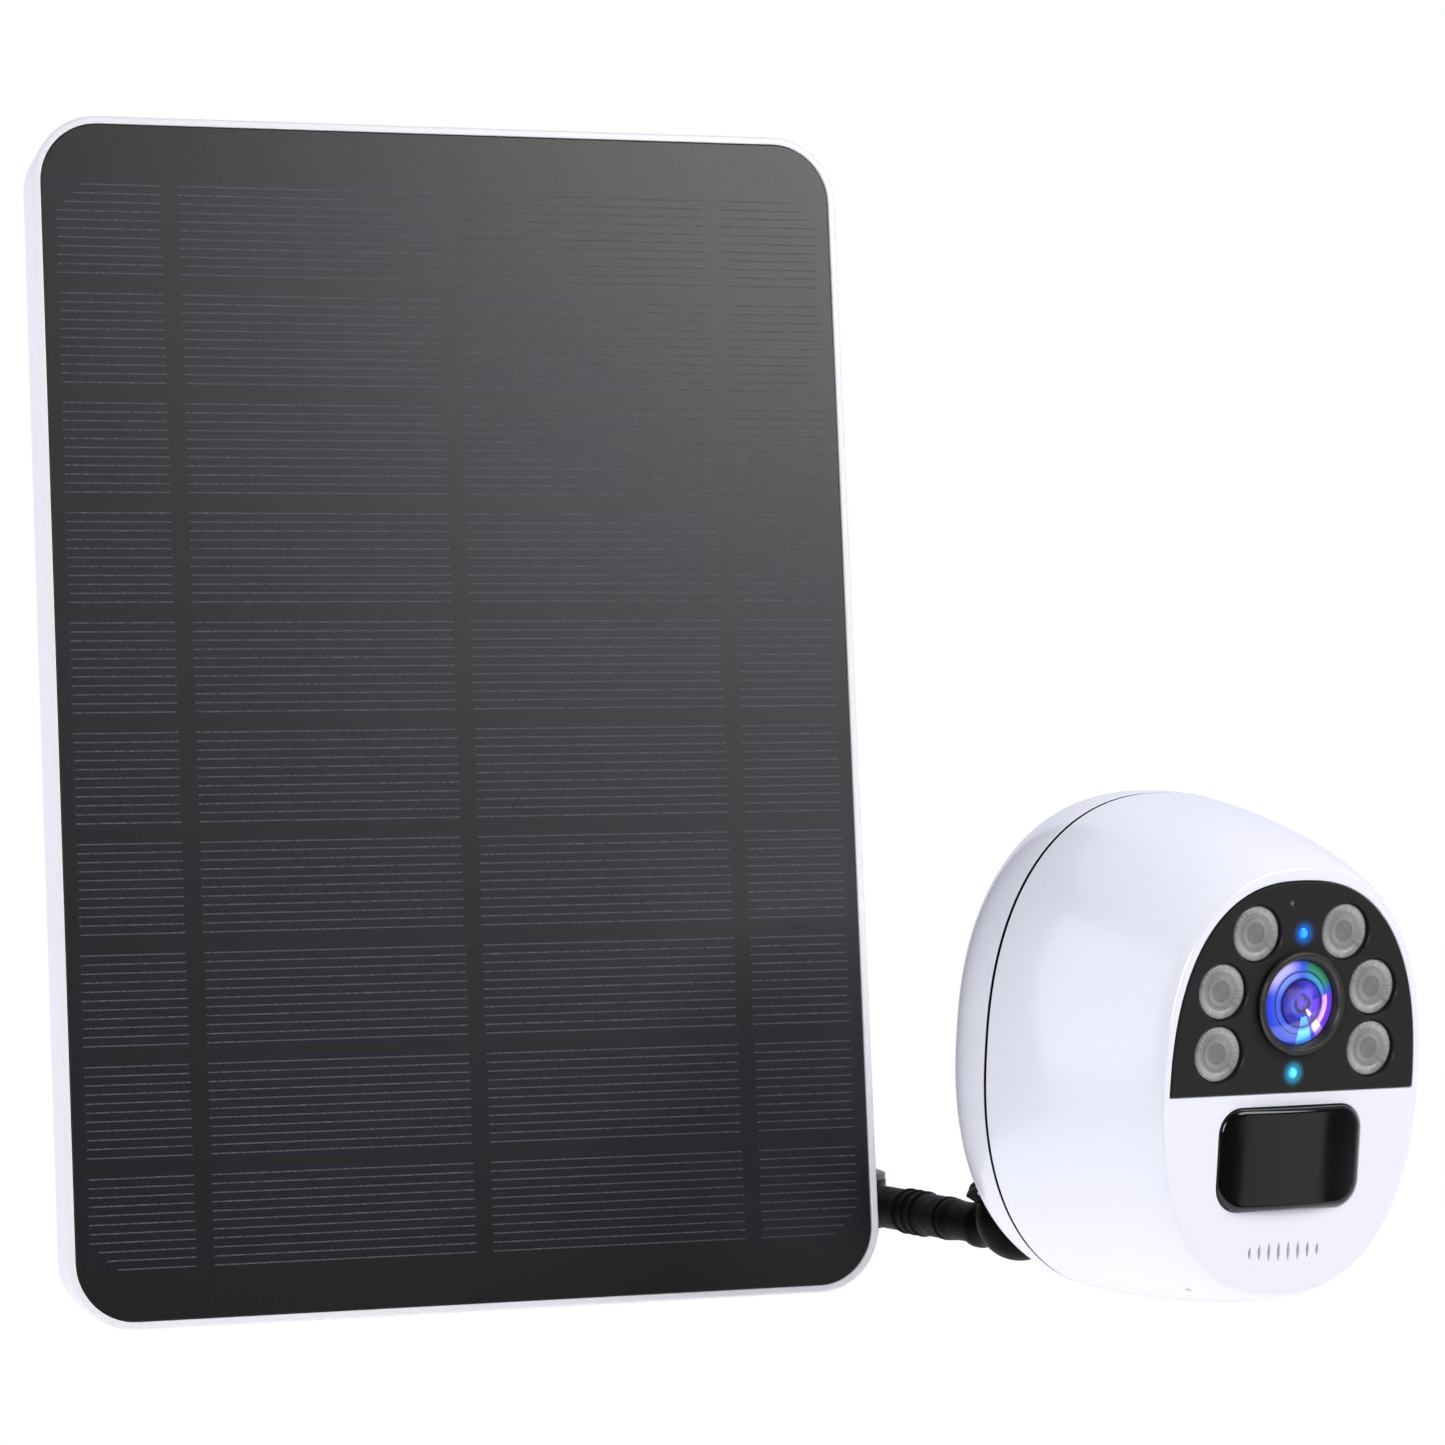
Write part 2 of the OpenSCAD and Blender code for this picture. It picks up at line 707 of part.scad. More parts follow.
module front_window() {
  color("#0b0b0d") body_frame() difference() {
    translate([0, window_y + window_t, 0]) rotate([90, 0, 0]) linear_extrude(window_t) window_2d();
    translate([0, 0, lens_z]) rod_y(8.4, 0, 60);
    lamp_spots() rod_y(lamp_r + 0.3, 0, 60);
    status_spots() rod_y(1.1, 0, 60);
    translate([light_sensor_at[0], 0, light_sensor_at[1]]) rod_y(0.8, 0, 60);
  }
}

module lens_ring() {
  color("#3c3d42") body_frame() translate([0, window_y, lens_z]) rotate([90, 0, 0]) rotate_extrude()
    polygon([
      [7.3, -4], [8.35, -4], [8.35, 0], [lens_ring_r, 0], [lens_ring_r, 1.1],
      [8.5, 1.4], [7.9, 1.4], [7.6, 1.1], [7.3, -0.2]
    ]);
}

module lens_glass() {
  color("#3f5f9c") body_frame() translate([0, window_y + 1.2, lens_z]) rotate([90, 0, 0])
    rotate_extrude() intersection() {
      translate([0, -12.2]) circle(r = 14.2, $fn = 128);
      translate([0, -1.4]) square([7.25, 4]);
    }
}

module lens_barrel() {
  color("#141418") body_frame() translate([0, window_y + 2.6, lens_z]) rotate([-90, 0, 0])
    rotate_extrude() polygon([
      [3.2, 1], [5.6, 1], [5.6, 0.02], [7.25, 0.02], [7.25, 5], [6.2, 5], [6.2, 13], [3.2, 13]
    ]);
}

module image_sensor() {
  color("#1f6b3a") body_frame() translate([0, window_y + 15.62, lens_z]) {
    translate([-9, 0, -9]) cube([18, 1.2, 18]);
    color("#2b2c34") translate([-2.1, -0.9, -2.1]) cube([4.2, 0.9 + eps, 4.2]);
  }
}

// Frosted lamp lenses with stepped faces
module lamp_lenses() {
  color("#c7c8cc") body_frame() lamp_spots() translate([0, lamp_y, 0]) rotate([-90, 0, 0])
    rotate_extrude() polygon([
      [0, 0.3], [1.75, 0.3], [1.8, 0.12], [2.5, 0.1], [2.55, 0.28], [3.3, 0.24], [3.4, 0.05],
      [lamp_r - 0.25, 0], [lamp_r, 0.25], [lamp_r, 1.2], [2.6, 4.4], [1.5, 4.4], [1.5, 3.4], [0, 3.4]
    ]);
}

module lamp_chips() {
  color("#e8d24a") body_frame() lamp_spots()
    translate([-1, lamp_y + 3.9, -1]) cube([2, 0.7, 2]);
}

module lamp_board() {
  color("#e6e6e6") body_frame() difference() {
    translate([0, lamp_y + 5.8, 0]) rotate([90, 0, 0]) linear_extrude(1.2) window_2d(-2.6);
    translate([0, 0, lens_z]) rod_y(7.6, 0, 60);
  }
}

// Light pipes that stand on the lamp board
module status_lights() {
  foot = lamp_y + 4.6;
  color("#2f8fe6") body_frame() status_spots() {
    rod_y(1.1, foot, foot - window_y - 0.02);
    rod_y(1.6, foot, 2.4);
  }
}

module light_sensor() {
  color("#5a5c66") body_frame() translate([light_sensor_at[0], 0, light_sensor_at[1]]) {
    rod_y(0.75, window_y + 3, 2.6);
    translate([-1.4, window_y + 3 - eps, -1.2]) cube([2.8, 1.2, 2.4]);
  }
}

// Bowed sensor window that stands out of the face
module pir_window() {
  bow = 75;
  color("#08080a") body_frame() translate([0, 0, pir_z]) difference() {
    intersection() {
      slab(pir_w, pir_h, pir_r, -front_l - pir_proud, pir_proud + wall + 1.2);
      translate([0, -front_l - pir_proud + bow, -20]) cylinder(r = bow, h = 40, $fn = 180);
    }
    slab(pir_w - 3, pir_h - 3, pir_r - 1.5, -front_l - pir_proud + 1.6, 10);
  }
}

module pir_sensor() {
  color("#b9bbc0") body_frame() translate([0, 0, pir_z]) {
    rod_y(4.6, -front_l + 10.4, 5.6);
    rod_y(5, -front_l + 11.2, 0.8 + eps);
  }
}

module speaker() {
  color("#2a2a2e") body_frame() translate([0, 0, slit_z]) difference() {
    slab(19, 9, 3, -front_l + 3, 4);
    slab(17, 7, 2, -front_l + 2, 1.8);
  }
}

module microphone() {
  color("#9a9ca2") body_frame() translate(mic_at) cylinder(r = 2, h = 2);
}

module main_board() {
  color("#1f6b3a") body_frame() difference() {
    translate([0, -front_l + 13, -4]) rotate([90, 0, 0]) linear_extrude(1.4)
      polygon(oval(24, 33));
    translate([-10, -front_l + 9, lens_z - 10]) cube([20, 10, 20]);
  }
}

module wifi_antenna() {
  color("#26262a") body_frame() translate([-16, -16, 30]) cube([32, 5, 0.8]);
}

module battery_cells() {
  color("#3a6fb0") body_frame() for (x = [-cell_x, cell_x])
    translate([x, cell_y, -cell_len / 2]) {
      cylinder(r = cell_r, h = cell_len - 1.5);
      translate([0, 0, cell_len - 1.5 - eps]) cylinder(r = 2.8, h = 1.5);
    }
}

module battery_holder() {
  color("#26262a") body_frame() difference() {
    slab(39, 68.4, 9, -9.5, 10);
    for (x = [-cell_x, cell_x])
      translate([x, cell_y, -33.2]) cylinder(r = cell_r + 0.05, h = 66.4);
    translate([-cell_x, -9.7, -30]) cube([2 * cell_x, 4, 60]);
  }
}

module power_button() {
  color("#d7d8dc") body_frame() translate([0, 0, button_z]) {
    rod_y(3.4, 22.9, 7.2);
    rod_y(4.2, 16.4, 1.2);
  }
}

module button_switch() {
  color("#303036") body_frame() translate([0, 0, button_z]) {
    rod_y(1.4, 14.5, 0.9);
    translate([-3, 12, -3]) cube([6, 1.7, 6]);
  }
}

// Rubber flap that swings up off the charging port, on a round barrel along its upper edge
module port_flap() {
  barrel_r = flap_t / 2;
  barrel_w = flap_w - 4;
  barrel_z = flap_z + flap_h / 2 - barrel_r;
  color("#d3d4d8") body_frame() {
    difference() {
      translate([0, 0, flap_z]) slab(flap_w, flap_h, 2, rear_l - flap_t, flap_t);
      translate([-flap_w, rear_l - 2 * flap_t, barrel_z]) cube([2 * flap_w, 3 * flap_t, flap_t]);
    }
    translate([-barrel_w / 2, rear_l - barrel_r, barrel_z]) rotate([0, 90, 0])
      cylinder(r = barrel_r, h = barrel_w);
    translate([-1.6, rear_l - 0.2, flap_z - flap_h / 2 + 0.6]) cube([3.2, 0.9, 1.2]);
  }
}

module usb_port() {
  color("#b9bbc0") body_frame() translate([0, 0, flap_z]) difference() {
    slab(8.2, 3.2, 1, rear_l - 7.6, 5.4);
    slab(7.4, 2.4, 0.8, rear_l - 7, 6);
  }
}

wall_plate();
panel_post();
side_strut();
arm_fork();
panel_tray();
front_sheet();
solar_cells();
cell_ribbons();
panel_board();
junction_box();
junction_lid();
charge_board();
output_socket();
junction_screws();
panel_ears();
ear_screws();
tilt_bolt();
tilt_knob();
arm_stem();
grip_sleeve();
socket_ring();
clamp_screw();
pivot_screw();
pivot_cap();
ball_stud();
lock_nut();
mount_pad();
front_shell();
rear_cover();
seam_seal();
thread_insert();
case_screws();
front_window();
lens_ring();
lens_glass();
lens_barrel();
image_sensor();
lamp_lenses();
lamp_chips();
lamp_board();
status_lights();
light_sensor();
pir_window();
pir_sensor();
speaker();
microphone();
main_board();
wifi_antenna();
battery_cells();
battery_holder();
power_button();
button_switch();
port_flap();
usb_port();
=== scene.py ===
"""Looks of a wall-mounted security camera with its own solar panel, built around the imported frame.

Lengths are in millimetres until a mesh is made. Each piece is drawn in the frame of the thing it
belongs to: the panel, the arm, the ball's stud or the camera body, as in the CAD model.
"""
import json
import math

import bmesh
import bpy
from mathutils import Matrix, Vector

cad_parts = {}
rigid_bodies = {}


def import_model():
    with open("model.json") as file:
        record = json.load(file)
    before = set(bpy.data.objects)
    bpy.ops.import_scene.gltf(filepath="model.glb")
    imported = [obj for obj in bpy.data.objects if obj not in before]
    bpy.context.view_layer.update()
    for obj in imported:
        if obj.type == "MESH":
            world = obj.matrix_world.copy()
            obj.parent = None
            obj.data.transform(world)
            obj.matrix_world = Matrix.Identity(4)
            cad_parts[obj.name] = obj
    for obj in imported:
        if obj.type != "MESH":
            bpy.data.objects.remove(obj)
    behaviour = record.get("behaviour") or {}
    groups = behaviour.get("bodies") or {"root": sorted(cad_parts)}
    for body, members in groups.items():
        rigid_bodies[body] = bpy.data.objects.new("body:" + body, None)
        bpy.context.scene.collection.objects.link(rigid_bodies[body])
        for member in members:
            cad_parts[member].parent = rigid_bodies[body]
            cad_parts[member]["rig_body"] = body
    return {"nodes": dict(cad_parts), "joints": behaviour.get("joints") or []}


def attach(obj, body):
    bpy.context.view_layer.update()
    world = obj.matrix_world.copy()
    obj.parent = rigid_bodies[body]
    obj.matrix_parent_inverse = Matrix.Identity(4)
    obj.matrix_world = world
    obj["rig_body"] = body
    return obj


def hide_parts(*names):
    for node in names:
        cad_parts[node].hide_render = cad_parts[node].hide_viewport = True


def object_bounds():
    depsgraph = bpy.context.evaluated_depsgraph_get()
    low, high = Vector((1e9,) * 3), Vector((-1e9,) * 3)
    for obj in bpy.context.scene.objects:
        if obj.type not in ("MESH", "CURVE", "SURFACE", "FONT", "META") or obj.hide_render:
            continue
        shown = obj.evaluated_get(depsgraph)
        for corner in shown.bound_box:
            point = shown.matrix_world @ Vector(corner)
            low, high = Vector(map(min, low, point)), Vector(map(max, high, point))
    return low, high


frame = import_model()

CAD_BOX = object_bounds()
MM = 0.001
TAU = 2 * math.pi
TINY_R = 1e-4

# --- Sizes, as in the CAD model ---
SHEET_W, SHEET_H, SHEET_R = 149.5, 209.0, 10.5
RIM_W = 1.6
TRAY_D = 14.0
TRAY_DRAFT = 2.0
PANEL_TILT = 6.2
HINGE_BACK = 34.0
CELL_ROWS = 10
CELL_PITCH = 19.3
LINES_PER_ROW = 11
LINE_PITCH = 1.568
FIRST_LINE = 10.65
LINE_HALF = 72.2
RIBBON_X = 51.6
BODY_A, BODY_B, BODY_N = 34.0, 43.3, 2.33
FRONT_L, REAR_L = 41.2, 23.5
FACE_A, FACE_B = 26.1, 35.6
FRONT_POWER, REAR_POWER = 1.45, 2.75
REAR_RISE, FACE_DROP = 2.6, 0.7
WALL = 2.2
SEAL_T = 0.8
BALL_BACK, BALL_DROP = 36.3, 37.1
STUD_LOCAL = 33.0
BOSS_FACE = 15.2
WINDOW_T, WINDOW_PROUD = 1.5, 0.3
WINDOW_A, WINDOW_FOOT, WINDOW_TOP, WINDOW_N = 24.9, -2.3, 32.9, 2.45
WINDOW_Y = -FRONT_L - WINDOW_PROUD
LENS_Z = 12.7
LENS_RING_R = 8.75
LAMP_DEEP = 0.7
LAMP_Y = WINDOW_Y + LAMP_DEEP
LAMPS = [(side * x, z) for x, z in ((9.1, 24.4), (15.5, 14.9), (15.7, 4.5)) for side in (-1, 1)]
STATUS = [(0.3, 24.3), (-0.3, 0.9)]
LIGHT_SENSOR = (-2.2, 29.4)
PIR_W, PIR_H, PIR_R, PIR_Z, PIR_PROUD = 29.0, 17.1, 4.2, -13.4, 1.8
SLIT_Z, SLIT_PITCH, SLIT_COUNT = -29.2, 2.0, 8
SCREWS = [(x, z) for x in (-25.5, 25.5) for z in (18, -20)]
BUTTON_Z = 25.0
FLAP_Z, FLAP_W, FLAP_H, FLAP_T = 8.0, 20.0, 9.0, 1.6
# Room round the flap. With the CAD's smaller recess the swung flap touched this smoother cover.
FLAP_ROOM_W, FLAP_ROOM_H, FLAP_ROOM_R, FLAP_ROOM_T = 0.9, 1.0, 1.6, 0.2
BALL_R, SOCKET_R = 5.6, 7.9
CLAMP_TURN = 38.0
ARM_L, BALL_RISE = 52.0, 2.6

# --- Frames, from the joints ---
JOINTS = {joint["name"]: joint for joint in frame["joints"]}


def axes_frame(origin, x, y):
    """Matrix of a right-handed frame from its origin and two axes."""
    x, y = Vector(x).normalized(), Vector(y).normalized()
    z = x.cross(y).normalized()
    turn = Matrix((x, z.cross(x), z)).transposed().to_4x4()
    return Matrix.Translation(Vector(origin)) @ turn


def moved(x, y, z):
    return Matrix.Translation(Vector((x, y, z)) * MM)


def turned(degrees, axis):
    return Matrix.Rotation(math.radians(degrees), 4, axis)


SIDEWAYS = JOINTS["ball_tilt"]["axis"]
BALL_AT = JOINTS["ball_tilt"]["pos_m"]
PANEL = (Matrix.Translation(JOINTS["panel_tilt"]["pos_m"]) @ turned(-PANEL_TILT, "X")
         @ moved(0, -HINGE_BACK, 0))
ARM = axes_frame(JOINTS["arm_pan"]["pos_m"], SIDEWAYS, Vector((0, 0, 1)).cross(Vector(SIDEWAYS)))
BODY = (axes_frame(BALL_AT, JOINTS["port_flap_swing"]["axis"], -Vector(JOINTS["power_button_press"]["axis"]))
        @ moved(0, -BALL_BACK, BALL_DROP))
BOSS = moved(0, BALL_BACK, -BALL_DROP) @ turned(-STUD_LOCAL, "X")


# --- Outlines and profiles, in millimetres ---
def oval(a, b, n=BODY_N, count=192):
    """Superellipse outline."""
    points = []
    for i in range(count):
        c, s = math.cos(TAU * i / count), math.sin(TAU * i / count)
        points.append((a * math.copysign(abs(c) ** (2 / n), c), b * math.copysign(abs(s) ** (2 / n), s)))
    return points


def rounded_rect(w, h, r, steps=12):
    """Outline of a rectangle with round corners, anticlockwise."""
    r = max(r, 0.01)
    points = []
    for turn, (sx, sz) in enumerate(((1, 1), (-1, 1), (-1, -1), (1, -1))):
        for i in range(steps + 1):
            angle = math.radians(90 * (turn + i / steps))
            points.append((sx * (w / 2 - r) + r * math.cos(angle), sz * (h / 2 - r) + r * math.sin(angle)))
    return points


def arc(r, degrees):
    """Points at radius r, one at each angle."""
    return [(r * math.cos(math.radians(a)), r * math.sin(math.radians(a))) for a in degrees]


def arch(grow=0.0, count=96):
    """Outline of the front window: a superellipse cut straight at its foot."""
    a, b, n = WINDOW_A + grow, WINDOW_TOP - WINDOW_FOOT + grow, WINDOW_N
    start = math.asin((max(0.0, -grow) / b) ** (n / 2))
    points = []
    for i in range(count + 1):
        t = start + (math.pi - 2 * start) * i / count
        points.append((a * math.copysign(abs(math.cos(t)) ** (2 / n), math.cos(t)),
                       WINDOW_FOOT + b * abs(math.sin(t)) ** (2 / n)))
    if grow > 0:
        points = [(a, WINDOW_FOOT - grow)] + points + [(-a, WINDOW_FOOT - grow)]
    return points


def dense(outline, step=0.7):
    """The same outline with its long sides divided."""
    points = []
    for here, ahead in zip(outline, outline[1:] + outline[:1]):
        parts = max(1, round(math.dist(here, ahead) / step))
        points += [(here[0] + (ahead[0] - here[0]) * k / parts, here[1] + (ahead[1] - here[1]) * k / parts)
                   for k in range(parts)]
    return points


def filleted(points, steps=5):
    """An open profile of (u, v) or (u, v, fillet) corners with its fillets drawn as arcs."""
    out = []
    for i, point in enumerate(points):
        fillet = point[2] if len(point) > 2 else 0
        here = Vector(point[:2])
        if not fillet or i in (0, len(points) - 1):
            out.append(tuple(here))
            continue
        back = (Vector(points[i - 1][:2]) - here)
        ahead = (Vector(points[i + 1][:2]) - here)
        half = back.angle(ahead) / 2
        reach = min(fillet / math.tan(half), back.length * 0.49, ahead.length * 0.49)
        start, end = here + back.normalized() * reach, here + ahead.normalized() * reach
        for k in range(steps + 1):
            t = k / steps
            out.append(tuple(start * (1 - t) ** 2 + here * 2 * t * (1 - t) + end * t ** 2))
    return out


# --- Meshes ---
def loft(rings, cap_start=True, cap_end=True, closed=False):
    """Vertices and faces of a skin through rings that have the same number of points."""
    count = len(rings[0])
    verts = [point for ring in rings for point in ring]
    faces = []
    last = len(rings) if closed else len(rings) - 1
    for k in range(last):
        a, b = k * count, ((k + 1) % len(rings)) * count
        for i in range(count):
            j = (i + 1) % count
            faces.append((a + i, a + j, b + j, b + i))
    if cap_start and not closed:
        faces.append(tuple(reversed(range(count))))
    if cap_end and not closed:
        faces.append(tuple(range((len(rings) - 1) * count, len(rings) * count)))
    return verts, faces


def ring_at(outline, y, dz=0.0):
    """An (x, z) outline as a ring at depth y."""
    return [(x, y, z + dz) for x, z in outline]


def round_rings(profile, count):
    """An (r, y) profile as rings round the y axis. A radius of 0 becomes a very small one."""
    turns = [TAU * i / count for i in range(count)]
    return [[(max(r, TINY_R) * math.cos(turn), y, max(r, TINY_R) * math.sin(turn)) for turn in turns]
            for r, y in profile]


def lathe(profile, count=72):
    """A closed solid from an (r, y) profile that starts and ends on the y axis."""
    return loft(round_rings(profile, count))


def tube(profile, count):
    """A ring-shaped solid from an (r, y) outline that stays clear of the y axis."""
    return loft(round_rings(profile, count), closed=True)


def bore(r, y0, y1, count=72):
    """A plain round cutter along the y axis."""
    return lathe([(0, y0), (r, y0), (r, y1), (0, y1)], count)


def prism(outline, y0, y1):
    return loft([ring_at(outline, y0), ring_at(outline, y1)])


def raw_mesh(name, shape, place=Matrix.Identity(4)):
    """A mesh in metres from millimetre vertices and faces, with its faces turned outwards."""
    verts, faces = shape
    mesh = bpy.data.meshes.new(name)
    mesh.from_pydata([tuple(place @ (Vector(v) * MM)) for v in verts], [], faces)
    bm = bmesh.new()
    bm.from_mesh(mesh)
    bmesh.ops.remove_doubles(bm, verts=bm.verts, dist=1e-7)
    bmesh.ops.recalc_face_normals(bm, faces=bm.faces)
    bm.to_mesh(mesh)
    bm.free()
    return mesh


def raw_object(name, mesh):
    obj = bpy.data.objects.new(name, mesh)
    bpy.context.scene.collection.objects.link(obj)
    return obj


def applied(obj):
    """Applies all the modifiers of obj to its mesh."""
    bpy.context.view_layer.update()
    graph = bpy.context.evaluated_depsgraph_get()
    mesh = bpy.data.meshes.new_from_object(obj.evaluated_get(graph), depsgraph=graph)
    obj.modifiers.clear()
    old = obj.data
    obj.data = mesh
    bpy.data.meshes.remove(old)
    return obj


def combine(obj, operation, shapes):
    """Joins closed shapes to obj, or cuts them from it. Each shape is (vertices, faces) or adds a place."""
    helpers = []
    for i, shape in enumerate(shapes):
        place = shape[2] if len(shape) > 2 else Matrix.Identity(4)
        helper = raw_object(f"{obj.name}_tool_{i}", raw_mesh("tool", shape[:2], place))
        modifier = obj.modifiers.new(f"tool_{i}", "BOOLEAN")
        modifier.operation = operation
        modifier.object = helper
        modifier.solver = "EXACT"
        helpers.append(helper)
    applied(obj)
    for helper in helpers:
        mesh = helper.data
        bpy.data.objects.remove(helper)
        bpy.data.meshes.remove(mesh)
    return obj


def smooth(obj, angle=32):
    """Smooth shading with sharp edges where the surface turns by more than angle."""
    mesh = obj.data
    mesh.polygons.foreach_set("use_smooth", [True] * len(mesh.polygons))
    mesh.set_sharp_from_angle(angle=math.radians(angle))
    weighted = obj.modifiers.new("weighted", "WEIGHTED_NORMAL")
    weighted.keep_sharp = True
    return applied(obj)


def piece(name, shape, place, body, material, replaces=(), cuts=(), joins=(), angle=32):
    """A finished piece: a mesh drawn in the frame place, riding on body."""
    obj = raw_object(name, raw_mesh(name, shape))
    if joins:
        combine(obj, "UNION", joins)
    if cuts:
        combine(obj, "DIFFERENCE", cuts)
    smooth(obj, angle)
    obj.data.materials.clear()
    for entry in material if isinstance(material, list) else (material,):
        obj.data.materials.append(entry)
    obj.matrix_world = place
    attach(obj, body)
    if replaces:
        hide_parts(*replaces)
    return obj


# --- Materials ---
class Shader:
    """Builds one node material."""

    def __init__(self, name, **values):
        self.material = bpy.data.materials.new(name)
        self.material.use_nodes = True
        self.tree = self.material.node_tree
        self.bsdf = self.tree.nodes["Principled BSDF"]
        self.set(**values)

    def set(self, **values):
        for key, value in values.items():
            self.bsdf.inputs[key.replace("_", " ")].default_value = value
        return self

    def node(self, kind, **settings):
        node = self.tree.nodes.new(kind)
        for key, value in settings.items():
            setattr(node, key, value)
        return node

    def feed(self, socket, value):
        """Links value to socket, or sets it."""
        if isinstance(value, bpy.types.NodeSocket):
            self.tree.links.new(value, socket)
        else:
            socket.default_value = value

    def coords(self, scale=1.0, stretch=(1, 1, 1)):
        """Object coordinates in millimetres times scale."""
        source = self.node("ShaderNodeTexCoord")
        mapping = self.node("ShaderNodeMapping")
        mapping.inputs["Scale"].default_value = [s * scale / MM for s in stretch]
        self.feed(mapping.inputs["Vector"], source.outputs["Object"])
        return mapping.outputs["Vector"]

    def noise(self, scale, detail=3.0, stretch=(1, 1, 1), roughness=0.5, vector=None):
        node = self.node("ShaderNodeTexNoise")
        node.inputs["Scale"].default_value = 1.0
        node.inputs["Detail"].default_value = detail
        node.inputs["Roughness"].default_value = roughness
        self.feed(node.inputs["Vector"], vector or self.coords(scale, stretch))
        return node.outputs["Fac"]

    def math(self, operation, a, b=0.0, c=0.0, clamp=False):
        node = self.node("ShaderNodeMath", operation=operation, use_clamp=clamp)
        for socket, value in zip(node.inputs, (a, b, c)):
            self.feed(socket, value)
        return node.outputs[0]

    def remap(self, value, low, high, to_low=0.0, to_high=1.0, soft=True):
        node = self.node("ShaderNodeMapRange", interpolation_type="SMOOTHSTEP" if soft else "LINEAR")
        for key, entry in (("Value", value), ("From Min", low), ("From Max", high),
                           ("To Min", to_low), ("To Max", to_high)):
            self.feed(node.inputs[key], entry)
        return node.outputs[0]

    def mix(self, factor, a, b):
        node = self.node("ShaderNodeMix", data_type="RGBA")
        self.feed(node.inputs[0], factor)
        self.feed(node.inputs[6], a)
        self.feed(node.inputs[7], b)
        return node.outputs[2]

    def ramp(self, factor, stops, interpolation="LINEAR"):
        node = self.node("ShaderNodeValToRGB")
        ramp = node.color_ramp
        ramp.interpolation = interpolation
        while len(ramp.elements) < len(stops):
            ramp.elements.new(1.0)
        for element, (position, colour) in zip(ramp.elements, stops):
            element.position = position
            element.color = (*colour, 1.0)
        self.feed(node.inputs[0], factor)
        return node.outputs[0]

    def bump(self, height, strength=0.2, distance=0.05):
        node = self.node("ShaderNodeBump")
        node.inputs["Strength"].default_value = strength
        node.inputs["Distance"].default_value = distance * MM
        self.feed(node.inputs["Height"], height)
        self.feed(self.bsdf.inputs["Normal"], node.outputs["Normal"])
        return self

    def colour(self, value):
        self.feed(self.bsdf.inputs["Base Color"], value)
        return self

    def rough(self, value):
        self.feed(self.bsdf.inputs["Roughness"], value)
        return self


def rgb(r, g, b):
    return (r, g, b, 1.0)


def shade(colour, factor):
    return (*(part * factor for part in colour), 1.0)


def plastic(name, colour, roughness, grain=0.35, depth=0.01, vary=0.08, coat=0.0, level=0.5):
    """Moulded plastic: cloudy tone, slight change of gloss and a fine moulded grain."""
    s = Shader(name, Coat_Weight=coat, Coat_Roughness=0.06, Specular_IOR_Level=level)
    cloud = s.noise(0.045, 4)
    s.colour(s.mix(cloud, shade(colour, 1 - vary), shade(colour, 1 + vary * 0.5)))
    s.rough(s.remap(s.noise(0.12, 3), 0.3, 0.7, roughness * 0.85, min(1, roughness * 1.2)))
    s.bump(s.noise(1 / grain, 2), 0.25, depth)
    return s.material


def metal(name, colour, roughness, stretch=(1, 1, 12), scale=0.6, depth=0.01):
    """Metal with fine lines left by rolling or turning."""
    s = Shader(name, Metallic=1.0)
    lines = s.noise(scale, 4, stretch)
    s.colour(s.mix(lines, shade(colour, 0.8), shade(colour, 1.12)))
    s.rough(s.remap(lines, 0.25, 0.75, roughness * 0.75, min(1, roughness * 1.35)))
    s.bump(lines, 0.2, depth)
    return s.material


def powder_coat(name, colour, roughness=0.42, level=0.4):
    """Painted metal with the small pebbles of a powder coat, a little worn."""
    s = Shader(name, Specular_IOR_Level=level)
    pebbles = s.noise(2.2, 3)
    dust = s.remap(s.noise(0.16, 5), 0.45, 0.8)
    s.colour(s.mix(dust, shade(colour, 1.0), shade(colour, 1.9)))
    s.rough(s.remap(pebbles, 0.3, 0.7, roughness * 0.8, roughness * 1.25))
    s.bump(pebbles, 0.35, 0.03)
    return s.material


def circuit_board(name, colour):
    """Solder mask with copper tracks that show through as paler lines."""
    s = Shader(name, Roughness=0.35, Specular_IOR_Level=0.5)
    brick = s.node("ShaderNodeTexBrick")
    brick.inputs["Scale"].default_value = 1.0
    brick.inputs["Mortar Size"].default_value = 0.06
    brick.inputs["Color1"].default_value = shade(colour, 0.9)
    brick.inputs["Color2"].default_value = shade(colour, 1.1)
    brick.inputs["Mortar"].default_value = shade(colour, 2.2)
    s.feed(brick.inputs["Vector"], s.coords(0.35))
    s.colour(s.mix(s.noise(0.3, 3), brick.outputs["Color"], shade(colour, 0.8)))
    s.bump(s.noise(1.5, 2), 0.2, 0.02)
    return s.material


def rubber(name, colour, roughness=0.6, level=0.25):
    """Matt rubber with a fine pebbled skin."""
    s = Shader(name, Specular_IOR_Level=level)
    s.colour(s.mix(s.noise(0.25, 5), shade(colour, 0.75), shade(colour, 1.5)))
    s.rough(s.remap(s.noise(0.8, 3), 0.3, 0.7, roughness * 0.85, min(1, roughness * 1.2)))
    s.bump(s.noise(3.5, 3), 0.3, 0.02)
    return s.material


